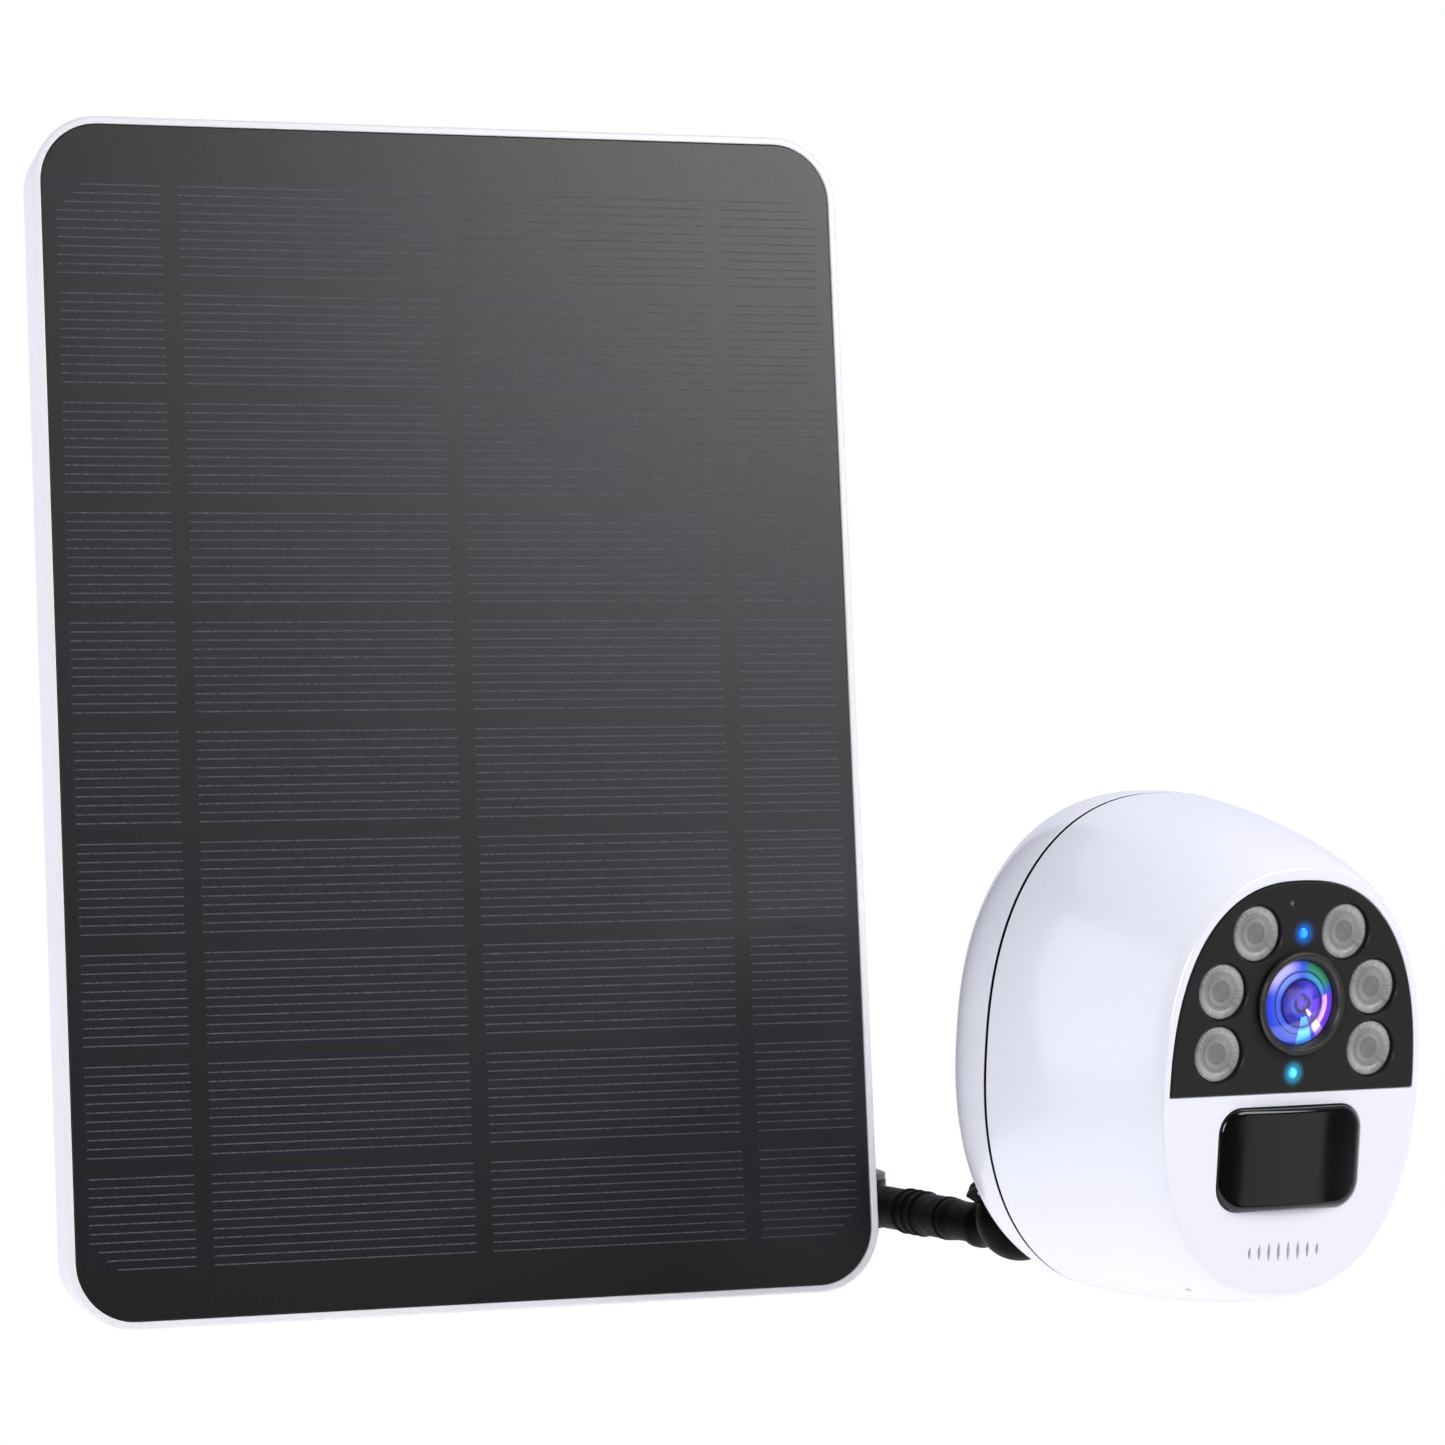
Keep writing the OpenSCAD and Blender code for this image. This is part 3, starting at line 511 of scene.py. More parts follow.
def make_sheet_material():
    """Charcoal laminate with a fine orange-peel grain over rows of dark blue-violet cells."""
    s = Shader("laminate", Specular_IOR_Level=0.55)
    split = s.node("ShaderNodeSeparateXYZ")
    s.feed(split.inputs[0], s.coords())
    x, z = split.outputs[0], split.outputs[2]
    down = s.math("SUBTRACT", SHEET_H / 2 - FIRST_LINE + 1.4, z)
    row = s.math("MODULO", s.math("ADD", down, 10 * CELL_PITCH), CELL_PITCH)
    cell_h = LINE_PITCH * (LINES_PER_ROW - 1) + 2.8
    in_row = s.math("MULTIPLY", s.remap(row, 0, 0.35), s.remap(row, cell_h - 0.35, cell_h, 1, 0))
    across = s.math("ABSOLUTE", s.math("SUBTRACT", s.math("MODULO", s.math(
        "ADD", x, 3.5 * RIBBON_X), RIBBON_X), RIBBON_X / 2))
    in_column = s.remap(across, 1.35, 1.95)
    in_height = s.remap(s.math("ABSOLUTE", z), SHEET_H / 2 - 9.5, SHEET_H / 2 - 9.0, 1, 0)
    in_width = s.remap(s.math("ABSOLUTE", x), LINE_HALF + 0.4, LINE_HALF + 0.9, 1, 0)
    cell = s.math("MULTIPLY", s.math("MULTIPLY", in_row, in_column), s.math("MULTIPLY", in_height, in_width))
    grain = s.noise(2.6, 3, roughness=0.6)
    tone = s.mix(cell, rgb(0.0026, 0.0026, 0.0036), rgb(0.0026, 0.0028, 0.0082))
    speckle = s.remap(grain, 0.3, 0.75, 0.55, 1.7, soft=False)
    cloud = s.remap(s.noise(0.02, 3), 0.3, 0.7, 0.9, 1.1)
    scale = s.node("ShaderNodeVectorMath", operation="SCALE")
    s.feed(scale.inputs[0], tone)
    s.feed(scale.inputs["Scale"], s.math("MULTIPLY", speckle, cloud))
    s.colour(scale.outputs[0])
    s.rough(s.remap(grain, 0.3, 0.7, 0.33, 0.40))
    s.bump(grain, 0.45, 0.04)
    return s.material


def make_line_material():
    """Printed silver finger lines, dulled by the laminate over them."""
    s = Shader("finger_line", Specular_IOR_Level=0.3)
    s.colour(s.mix(s.remap(s.noise(1.6, 4), 0.3, 0.7), rgb(0.035, 0.036, 0.044), rgb(0.10, 0.10, 0.12)))
    s.rough(0.55)
    s.bump(s.noise(2.6, 3), 0.4, 0.03)
    return s.material


def make_shell_material():
    """Glossy white moulding with a lavender cast, faint clouding and a soft orange peel."""
    s = Shader("shell_white", Coat_Weight=0.5, Coat_Roughness=0.08, Specular_IOR_Level=0.5)
    cloud = s.remap(s.noise(0.03, 3), 0.25, 0.75)
    speck = s.remap(s.noise(1.6, 1), 0.76, 0.80)
    white = s.mix(cloud, rgb(0.835, 0.84, 0.905), rgb(0.85, 0.855, 0.915))
    s.colour(s.mix(speck, white, rgb(0.66, 0.66, 0.72)))
    s.rough(s.remap(s.noise(0.1, 2), 0.25, 0.75, 0.21, 0.25))
    s.bump(s.noise(0.5, 2), 0.03, 0.03)
    return s.material


def polar(s, centre=(0.0, 0.0)):
    """Radius in millimetres and angle in turns round the y axis, through centre."""
    split = s.node("ShaderNodeSeparateXYZ")
    s.feed(split.inputs[0], s.coords())
    x = s.math("SUBTRACT", split.outputs[0], centre[0])
    z = s.math("SUBTRACT", split.outputs[2], centre[1])
    radius = s.math("SQRT", s.math("ADD", s.math("MULTIPLY", x, x), s.math("MULTIPLY", z, z)))
    angle = s.math("ADD", s.math("DIVIDE", s.math("ARCTAN2", z, x), TAU), 0.5)
    return radius, angle


def make_window_material():
    """Flat dark grey front window, with painted blue light round each status light."""
    s = Shader("window_black", Roughness=0.3, Specular_IOR_Level=0.12)
    s.colour(s.mix(s.noise(0.08, 3), rgb(0.0195, 0.0195, 0.020), rgb(0.0215, 0.0215, 0.022)))
    s.rough(s.remap(s.noise(0.3, 2), 0.3, 0.7, 0.30, 0.34))
    s.bump(s.noise(2.5, 2), 0.03, 0.01)
    painted_glow = None
    # Painted light: the window gives off blue round each status light, though the window is no lamp.
    for spot, tint in zip(STATUS, (rgb(0.0, 0.10, 0.44), rgb(0.02, 0.26, 0.42))):
        radius, _ = polar(s, spot)
        painted_halo = s.mix(s.math("POWER", s.remap(radius, 2.9, 1.0), 2.2), rgb(0, 0, 0), tint)
        if painted_glow is None:
            painted_glow = painted_halo
        else:
            add = s.node("ShaderNodeMix", data_type="RGBA", blend_type="ADD")
            s.feed(add.inputs[0], 1.0)
            s.feed(add.inputs[6], painted_glow)
            s.feed(add.inputs[7], painted_halo)
            painted_glow = add.outputs[2]
    s.feed(s.bsdf.inputs["Emission Color"], painted_glow)
    s.set(Emission_Strength=1.0)
    return s.material


def make_lens_material():
    """Coated lens: concentric elements in blue and violet, with painted reflections in wedges (lavender at
    the upper left, green at the top, violet with a pink highlight on the right, pale highlights and cyan low
    on the right) and a painted glow.
    """
    s = Shader("lens_coated", Roughness=0.12, Coat_Weight=1.0, Coat_Roughness=0.015, Specular_IOR_Level=0.6)
    radius, angle = polar(s)
    r = s.math("DIVIDE", radius, 7.35)
    navy, ink, core = (0.006, 0.008, 0.09), (0.012, 0.012, 0.10), (0.13, 0.07, 0.62)
    # main holds the coating's own concentric colours; the ramps after it are painted reflections for the
    # wedges.
    main = s.ramp(r, [
        (0.0, core), (0.13, (0.10, 0.06, 0.55)), (0.17, ink), (0.22, ink),
        (0.245, (0.05, 0.07, 0.62)), (0.31, (0.05, 0.06, 0.52)), (0.34, (0.028, 0.030, 0.30)),
        (0.50, (0.034, 0.028, 0.36)), (0.545, navy), (0.565, navy), (0.59, (0.05, 0.10, 0.62)),
        (0.68, (0.07, 0.13, 0.70)), (0.705, navy), (0.73, (0.05, 0.09, 0.55)),
        (0.80, (0.035, 0.08, 0.70)), (0.93, (0.03, 0.06, 0.62)), (1.0, (0.004, 0.006, 0.04))])
    violet = s.ramp(r, [
        (0.0, (0.16, 0.08, 0.70)), (0.17, ink), (0.22, ink), (0.25, (0.16, 0.07, 0.75)),
        (0.45, (0.14, 0.05, 0.62)), (0.545, navy), (0.59, (0.13, 0.05, 0.62)), (0.64, (0.75, 0.35, 0.85)),
        (0.74, (0.85, 0.42, 0.88)), (0.77, (0.16, 0.05, 0.66)), (0.93, (0.13, 0.04, 0.60)),
        (1.0, (0.01, 0.006, 0.05))])
    cyan = s.ramp(r, [
        (0.0, core), (0.17, ink), (0.30, (0.05, 0.06, 0.52)), (0.33, (0.12, 0.50, 0.86)),
        (0.50, (0.08, 0.30, 0.80)), (0.545, navy), (0.59, (0.08, 0.25, 0.80)), (0.66, (0.16, 0.72, 0.95)),
        (0.78, (0.10, 0.55, 0.92)), (0.93, (0.05, 0.22, 0.80)), (1.0, (0.006, 0.02, 0.06))])
    green = s.ramp(r, [
        (0.0, (0.10, 0.06, 0.62)), (0.17, ink), (0.25, (0.12, 0.06, 0.70)), (0.50, (0.05, 0.04, 0.45)),
        (0.545, navy), (0.60, (0.05, 0.24, 0.52)), (0.69, (0.06, 0.30, 0.42)), (0.72, navy),
        (0.78, (0.04, 0.26, 0.16)), (0.92, (0.03, 0.20, 0.09)), (1.0, (0.004, 0.02, 0.02))])
    # Painted highlight colour, used in the pale wedge.
    white = (0.95, 0.86, 1.0)
    pale = s.ramp(r, [
        (0.0, core), (0.17, ink), (0.20, white), (0.36, white), (0.39, (0.12, 0.05, 0.55)),
        (0.56, navy), (0.62, white), (0.80, white), (0.84, (0.5, 0.3, 0.8)), (0.93, (0.3, 0.14, 0.7)),
        (1.0, (0.01, 0.006, 0.05))])
    lavender = s.ramp(r, [
        (0.0, core), (0.545, navy), (0.60, (0.14, 0.22, 0.85)), (0.69, (0.20, 0.28, 0.90)),
        (0.71, navy), (0.78, (0.35, 0.38, 0.95)), (0.90, (0.60, 0.50, 0.95)), (1.0, (0.02, 0.02, 0.08))])

    def window(a, centre, half, soft):
        """1 within half a width of centre, in degrees from +X, falling to 0 over soft."""
        start = (centre / 360 + 0.5) % 1.0
        off = s.math("ABSOLUTE", s.math("SUBTRACT", s.math("MODULO", s.math(
            "ADD", s.math("SUBTRACT", a, start), 1.5), 1.0), 0.5))
        return s.remap(off, half / 360, (half + soft) / 360, 1, 0)

    # The painted reflections are mixed in, wedge by wedge.
    colour = s.mix(window(angle, 128, 10, 34), main, lavender)
    colour = s.mix(window(angle, 52, 14, 26), colour, green)
    colour = s.mix(window(angle, -22, 32, 8), colour, violet)
    colour = s.mix(window(angle, -48, 6, 4), colour, pale)
    colour = s.mix(window(angle, -78, 13, 2), colour, cyan)
    s.colour(colour)
    # Painted glow: the lens gives off its colours as light, though it is no lamp.
    s.feed(s.bsdf.inputs["Emission Color"], colour)
    s.set(Emission_Strength=0.42)
    ripple = s.math("SINE", s.math("MULTIPLY", radius, 9.0))
    s.bump(ripple, 0.12, 0.01)
    return s.material


def make_sensor_window_material():
    """Smooth dark moulding with faint upright flow lines, a little uneven in gloss."""
    s = Shader("pir_black", Specular_IOR_Level=0.5)
    lines = s.noise(1.0, 2, (1.1, 0.02, 0.02))
    s.colour(s.mix(lines, rgb(0.0014, 0.0014, 0.0015), rgb(0.0028, 0.0028, 0.0030)))
    s.rough(s.remap(s.noise(0.2, 2), 0.3, 0.7, 0.10, 0.13))
    s.bump(s.noise(0.7, 2), 0.05, 0.01)
    return s.material


def make_glow_material(name, core, edge):
    """A lit light pipe, brightest at its middle."""
    s = Shader(name, Roughness=0.25)
    radius, _ = polar(s)
    colour = s.mix(s.remap(radius, 0.15, 1.15), core, edge)
    s.colour(colour)
    s.feed(s.bsdf.inputs["Emission Color"], colour)
    s.set(Emission_Strength=1.0)
    s.bump(s.noise(1.5, 2), 0.1, 0.01)
    return s.material


def make_frost_material(name, tone, swing):
    """Frosted lamp lens with fine radial streaks and a painted sheen, paler across one diagonal."""
    s = Shader(name, Coat_Weight=0.3, Coat_Roughness=0.12, Specular_IOR_Level=0.4)
    radius, angle = polar(s)
    spokes = s.node("ShaderNodeCombineXYZ")
    wave = s.math("MULTIPLY", angle, TAU)
    s.feed(spokes.inputs[0], s.math("MULTIPLY", s.math("COSINE", wave), 9.0))
    s.feed(spokes.inputs[1], s.math("MULTIPLY", s.math("SINE", wave), 9.0))
    s.feed(spokes.inputs[2], s.math("MULTIPLY", radius, 0.35))
    streaks = s.remap(s.noise(1.0, 3, vector=spokes.outputs[0]), 0.3, 0.7)
    # Painted sheen: colour paler across one diagonal, standing in for the shine of turned faces.
    doubled = s.math("MULTIPLY_ADD", wave, 2.0, -math.radians(100))
    diagonal = s.math("MULTIPLY_ADD", s.math("COSINE", doubled), 0.5, 0.5)
    light = s.math("ADD", s.math("MULTIPLY", streaks, 0.4), s.math("MULTIPLY", diagonal, 0.6))
    s.colour(s.mix(light, shade(tone, 1 - swing), shade(tone, 1 + swing)))
    s.rough(s.remap(streaks, 0.0, 1.0, 0.34, 0.48))
    s.bump(s.noise(3.2, 3), 0.25, 0.02)
    return s.material


BLACK_STEEL = powder_coat("bracket_black", (0.012, 0.012, 0.0135))
ARM_BLACK = powder_coat("arm_black", (0.0008, 0.0008, 0.0009), 0.45, 0.05)
WHITE_TRAY = plastic("tray_white", (0.84, 0.84, 0.86), 0.34, grain=0.5, vary=0.04)
SHELL = make_shell_material()
LAMINATE = make_sheet_material()
FINGER = make_line_material()
BLACK_PLASTIC = plastic("black_plastic", (0.018, 0.018, 0.020), 0.45, grain=0.4, depth=0.02, vary=0.2)
KNOB_BLACK = plastic("knob_black", (0.02, 0.02, 0.022), 0.5, grain=0.5, depth=0.03, vary=0.2)
GRIP = rubber("grip_rubber", (0.0010, 0.0010, 0.0012), 0.5, 0.06)
SEAL = rubber("seal_black", (0.0008, 0.0008, 0.001), 0.8, 0.03)
FLAP = rubber("flap_grey", (0.62, 0.62, 0.66), 0.55)
STEEL = metal("screw_steel", (0.55, 0.56, 0.58), 0.28)
CAN_STEEL = metal("can_steel", (0.58, 0.59, 0.6), 0.3, (6, 1, 1))
BALL_STEEL = metal("ball_steel", (0.10, 0.105, 0.12), 0.26, (1, 8, 1))
CHROME = metal("ring_bright", (0.72, 0.73, 0.75), 0.14, (1, 6, 1), 1.2)
BRASS = metal("insert_brass", (0.6, 0.42, 0.16), 0.3)
COPPER = metal("ribbon_copper", (0.68, 0.42, 0.26), 0.32, (8, 1, 1))
CAP_PALE = plastic("cap_pale", (0.16, 0.125, 0.12), 0.38, grain=0.3, vary=0.25)
WINDOW = make_window_material()
PIR_BLACK = make_sensor_window_material()
RING_GREY = metal("ring_grey", (0.085, 0.078, 0.072), 0.36, (6, 1, 6), 0.8)
RING_DARK = plastic("ring_dark", (0.006, 0.006, 0.0065), 0.42, vary=0.2)
LENS = make_lens_material()
FROST = [make_frost_material("frost_centre", (0.17, 0.17, 0.172), 0.12),
         make_frost_material("frost_mid", (0.24, 0.24, 0.242), 0.2),
         make_frost_material("frost_band", (0.31, 0.31, 0.313), 0.42),
         make_frost_material("frost_rim", (0.2, 0.2, 0.202), 0.5)]
GREEN_BOARD = circuit_board("board_green", (0.02, 0.16, 0.05))
WHITE_BOARD = circuit_board("board_white", (0.32, 0.32, 0.32))
CELL_BLUE = plastic("cell_blue", (0.012, 0.014, 0.05), 0.25, vary=0.3)
WRAP_BLUE = plastic("cell_wrap", (0.05, 0.17, 0.5), 0.2, vary=0.12, coat=0.4)
CHIP = plastic("chip_yellow", (0.8, 0.62, 0.12), 0.4)
BUTTON = plastic("button_grey", (0.6, 0.6, 0.63), 0.4, grain=0.3, depth=0.02)
SENSOR = plastic("sensor_grey", (0.10, 0.105, 0.12), 0.1, coat=0.8)
GLOW_TOP = make_glow_material("light_blue", rgb(0.02, 0.30, 1.0), rgb(0.0, 0.10, 0.60))
GLOW_FOOT = make_glow_material("light_cyan", rgb(0.10, 0.60, 1.0), rgb(0.01, 0.22, 0.62))


# --- Camera body ---
def fullness(s, power):
    return max(0.0, 1 - min(s, 1.0) ** power) ** (1 / power)


def body_ring(a, b, inset, y, dz):
    return ring_at(oval(a - inset, b - inset), y, dz)


SEAM_ROUND = [(0.12, 0.0), (0.04, 0.03), (0.0, 0.12)]  # inset and depth of the rounded lip
NEAR_SEAM = 0.9  # no ring closer to the seam than this, beyond the lip's own


def seam_rings(inset, lip, way):
    """Rings at the seam: way is -1 for the front half and 1 for the rear half."""
    return [body_ring(BODY_A, BODY_B, inset + d, way * (SEAL_T / 2 + y), 0)
            for d, y in (SEAM_ROUND if lip else [(0, 0)])]


def front_skin(inset, lip):
    """Rings of the front half from the seam to the flat face."""
    length = FRONT_L - inset
    rings = seam_rings(inset, lip, -1)
    count = 40
    for i in range(1, count + 1):
        s = 1 - (1 - i / count) ** 2.0
        if s * length <= NEAR_SEAM:
            continue
        k = fullness(s, FRONT_POWER)
        a = FACE_A + (BODY_A - FACE_A) * k
        b = FACE_B + (BODY_B - FACE_B) * k
        rings.append(body_ring(a, b, inset, -length * s, -FACE_DROP * (1 - k)))
    rings.append(body_ring(FACE_A - 0.6, FACE_B - 0.6, inset, -length, -FACE_DROP))
    return rings


def rear_skin(inset, lip):
    """Rings of the rear half from the seam to the crown."""
    length = REAR_L - inset
    rings = seam_rings(inset, lip, 1)
    count = 44
    for i in range(1, count):
        turn = 0.5 * math.pi * i / count
        s = math.sin(turn) ** 0.8
        k = fullness(s, REAR_POWER)
        if s * length <= NEAR_SEAM:
            continue
        rings.append(body_ring((BODY_A - inset) * k, (BODY_B - inset) * k, 0, length * s,
                               REAR_RISE * (1 - k)))
    return rings


def shell_shape(outer, inner):
    """A closed shell between two skins that both start at the seam."""
    return loft(list(reversed(inner)) + outer)


def slit(height):
    """Leaf-shaped outline of a speaker slit."""
    half, steps = 0.32, 10
    right = [(half * math.cos(math.pi * (i / steps - 0.5)) ** 0.8, height * (i / steps - 0.5))
             for i in range(1, steps)]
    left = [(-x, z) for x, z in reversed(right)]
    return [(0, -height / 2)] + right + [(0, height / 2)] + left


def shifted(outline, dx, dz):
    return [(x + dx, z + dz) for x, z in outline]


def recess(outline_of, lip, floor_y, out_y):
    """Cutter for a recess with a softened edge: outline_of(grow) gives its outline."""
    return loft([ring_at(outline_of(0), floor_y), ring_at(outline_of(0), lip + 0.35),
                 ring_at(outline_of(0.07), lip + 0.13), ring_at(outline_of(0.2), lip),
                 ring_at(outline_of(0.35), out_y)])


def make_front_shell():
    """Front half with its window and sensor openings, speaker slits, microphone hole and screw posts."""
    ledge, inside, outside = 2.2, -FRONT_L + 4, -FRONT_L - 4

    def sensor_hole(grow):
        outline = rounded_rect(PIR_W + 0.1 + 2 * grow, PIR_H + 0.1 + 2 * grow, PIR_R + 0.05 + grow)
        return shifted(outline, 0, PIR_Z)

    cuts = [recess(lambda grow: arch(0.1 + grow), -FRONT_L, -FRONT_L + WINDOW_T - WINDOW_PROUD, outside),
            prism(arch(-ledge), inside, -FRONT_L), recess(sensor_hole, -FRONT_L, inside, outside)]
    for i in range(SLIT_COUNT):
        off = i - (SLIT_COUNT - 1) / 2
        height = 3.4 - 0.1 * off * off
        cuts.append(prism(shifted(slit(height), off * SLIT_PITCH, SLIT_Z), inside, -FRONT_L - 2))
    cuts.append((*bore(0.6, -20, 20, 24), moved(-13, -33, -40) @ turned(90, "X")))
    posts = [(*lathe(filleted([(0, -15.4), (3, -15.4, 0.4), (3, -0.4), (0, -0.4)]), 32), moved(x, 0, z))
             for x, z in SCREWS]
    return piece("camera_front_shell", shell_shape(front_skin(0, True), front_skin(WALL, False)), BODY,
                 "camera", SHELL, ["front_shell"], cuts, posts)


def make_rear_cover():
    """Rear half with its mount boss and its button, screw, flap and charging port openings."""
    boss = (*lathe(filleted([(0, -BOSS_FACE), (8.6, -BOSS_FACE, 0.7), (8.6, -28), (0, -28)])), BOSS)
    cuts = [(*bore(4.55, -BOSS_FACE + 1, -35), BOSS)]
    cuts += [(*bore(2.5, 3, 40, 32), moved(x, 0, z)) for x, z in SCREWS]
    cuts.append((*bore(3.6, 16, 40, 48), moved(0, 0, BUTTON_Z)))
    flap_room = rounded_rect(FLAP_W + FLAP_ROOM_W, FLAP_H + FLAP_ROOM_H, FLAP_ROOM_R)
    cuts.append(prism(shifted(flap_room, 0, FLAP_Z), REAR_L - FLAP_T - FLAP_ROOM_T, REAR_L + 5))
    cuts.append(prism(shifted(rounded_rect(9.2, 4, 1), 0, FLAP_Z), REAR_L - 6, REAR_L + 2))
    return piece("camera_rear_cover", shell_shape(rear_skin(0, True), rear_skin(WALL, False)), BODY,
                 "camera", SHELL, ["rear_cover"], cuts, [boss])


def make_seal():
    """Black rubber cord in the seam, nearly flush with the two shells."""
    half = SEAL_T / 2
    profile = [(1.4, -half), (0.16, -half), (0.08, -half + 0.08), (0.08, half - 0.08), (0.16, half),
               (1.4, half)]
    rings = [body_ring(BODY_A, BODY_B, inset, y, 0) for inset, y in profile]
    return piece("camera_seam_seal", loft(rings, closed=True), BODY, "camera", SEAL, ["seam_seal"],
                 angle=40)


def make_window():
    """Front window with a softened outer edge and bored holes for the lens, lamps and lights."""
    back = WINDOW_Y + WINDOW_T
    plate = loft([ring_at(arch(0), back), ring_at(arch(0), WINDOW_Y + 0.22),
                  ring_at(arch(-0.07), WINDOW_Y + 0.07), ring_at(arch(-0.22), WINDOW_Y)])
    start, end = back + 1, WINDOW_Y - 1
    cuts = [(*bore(8.42, start, end, 96), moved(0, 0, LENS_Z))]
    lamp_bore = lathe([(0, start), (4.95, start), (4.95, WINDOW_Y + 0.2), (5.15, WINDOW_Y), (5.3, end),
                       (0, end)], 64)
    cuts += [(*lamp_bore, moved(x, 0, z)) for x, z in LAMPS]
    cuts += [(*bore(1.12, start, end, 32), moved(x, 0, z)) for x, z in STATUS]
    sensor_bore = lathe([(0, start), (0.5, start), (0.5, WINDOW_Y + 0.2), (0.75, WINDOW_Y - 0.01), (0.8, end),
                         (0, end)], 24)
    cuts.append((*sensor_bore, moved(LIGHT_SENSOR[0], 0, LIGHT_SENSOR[1])))
    return piece("front_window_panel", plate, BODY, "camera", WINDOW, ["front_window"], cuts)


def make_lens():
    """Bevelled ring, stepped dark seat and a coated lens."""
    seat = BODY @ moved(0, WINDOW_Y, LENS_Z)
    ring = filleted([(7.9, 0.9), (8.38, 0.9), (8.38, 0.0), (LENS_RING_R, 0.0, 0.1), (LENS_RING_R, -0.95, 0.2),
                     (8.45, -1.4, 0.15), (7.8, -1.4, 0.12), (7.45, -0.9, 0.1), (7.45, 0.9)])
    piece("lens_bezel", tube(ring, 120), seat, "camera", RING_GREY, ["lens_ring"], angle=50)
    bevel = [(7.5, 4.0), (7.46, -0.75), (7.2, -0.2), (7.05, 0.2), (7.05, 4.0)]
    piece("lens_seat", tube(bevel, 96), seat, "camera", RING_DARK, [])
    apex, reach, curve, flatten, steps = -1.05, 7.04, 14.2, 0.8, 24
    dome = [(0.0, apex)]
    for i in range(1, steps + 1):
        r = reach * i / steps
        dome.append((r, apex + curve - math.sqrt(curve ** 2 - (r * flatten) ** 2)))
    dome += [(reach, 2.2), (0, 2.2)]
    piece("lens_front_glass", lathe(dome, 120), seat, "camera", LENS, ["lens_glass"], angle=40)


def make_lamps():
    """Six frosted lenses with stepped faces, each in its own bore. Profiles are (r, y, zone)."""
    profile = [(0.0, 0.34, 0), (0.9, 0.30, 0), (1.72, 0.26, 0),
               (1.80, 0.12, 1), (2.20, 0.06, 1), (2.60, 0.10, 1), (2.68, 0.24, 1), (3.20, 0.26, 1),
               (3.32, 0.10, 2), (3.75, -0.06, 2), (4.15, -0.08, 2), (4.36, 0.06, 2),
               (4.42, 0.02, 3), (4.56, 0.06, 3), (4.62, 0.3, 3), (4.62, 1.2, 3), (2.6, 4.3, 3), (0.0, 4.3, 3)]
    shape = lathe([(r, y) for r, y, _ in profile], 64)
    limits = [(r, band) for r, _, band in profile[:-4]]
    rim_zone, face_depth = 3, 0.8
    for i, (x, z) in enumerate(LAMPS):
        lamp = piece(f"lamp_lens_{i + 1}", shape, BODY @ moved(x, LAMP_Y, z), "camera", FROST,
                     ["lamp_lenses"], angle=50)
        for face in lamp.data.polygons:
            centre = face.center / MM
            r = math.hypot(centre.x, centre.z)
            zone = rim_zone
            for (inner, _), (outer, band) in zip(limits, limits[1:]):
                if centre.y < face_depth and inner <= r < outer:
                    zone = band
            face.material_index = zone
        cup = tube([(4.72, 0.1), (4.93, 0.1), (4.93, 1.6), (4.72, 1.6)], 48)
        piece(f"lamp_cup_{i + 1}", cup, BODY @ moved(x, LAMP_Y, z), "camera", RING_DARK, [])


def make_status_lights():
    """Two domed light pipes, each with a collar behind the window."""
    dome = [(0, -0.1), (0.5, -0.06), (0.85, 0.05), (1.05, 0.25), (1.08, 0.6), (1.08, 6), (1.6, 6), (1.6, 8),
            (0, 8)]
    for i, ((x, z), material) in enumerate(zip(STATUS, (GLOW_TOP, GLOW_FOOT))):
        piece(f"status_light_{i + 1}", lathe(dome, 40), BODY @ moved(x, WINDOW_Y, z), "camera", material,
              ["status_lights"], angle=50)


def make_pir_window():
    """Bowed glossy window with a round edge."""
    bow, edge = 75.0, 0.9
    front = -FRONT_L - PIR_PROUD

    def surface(x):
        return front + bow - math.sqrt(bow * bow - x * x)

    outline = dense(rounded_rect(PIR_W, PIR_H, PIR_R))

    def inner(inset):
        return [(x * (1 - 2 * inset / PIR_W), z * (1 - 2 * inset / PIR_H)) for x, z in outline]

    rings = [ring_at(outline, -FRONT_L + WALL + 1.2)]
    for i in range(7):
        t = math.radians(90 * i / 6)
        sunk = edge * (1 - math.sin(t))
        rings.append([(x, surface(x) + sunk, z) for x, z in inner(edge * (1 - math.cos(t)))])
    base = inner(edge)
    for k in (0.97, 0.9, 0.8, 0.7, 0.6, 0.5, 0.4, 0.3, 0.2, 0.1, 0.03):
        rings.append([(x * k, surface(x * k), z * k) for x, z in base])
    return piece("motion_sensor_window", loft(rings), BODY @ moved(0, 0, PIR_Z), "camera", PIR_BLACK,
                 ["pir_window"], angle=60)


# --- Solar panel ---
def tray_ring(inset, y):
    w, h = SHEET_W + 2 * RIM_W, SHEET_H + 2 * RIM_W
    return ring_at(rounded_rect(w - 2 * inset, h - 2 * inset, max(SHEET_R + RIM_W - inset, 2.0), 16), y)


def make_tray():
    """White tray: round front lip, drafted sides, round back edge and a ledge for the sheet."""
    slot = RIM_W - 0.15
    profile = filleted([
        (4.6, 12.2), (4.6, 2.6), (slot, 2.6), (slot, -0.3, 0.25), (0.0, -0.3, 0.75),
        (TRAY_DRAFT, TRAY_D, 2.2), (TRAY_DRAFT + 6, TRAY_D)], 6)
    return piece("panel_tray_shell", loft([tray_ring(d, y) for d, y in profile]), PANEL, "panel", WHITE_TRAY,
                 ["panel_tray"], angle=40)


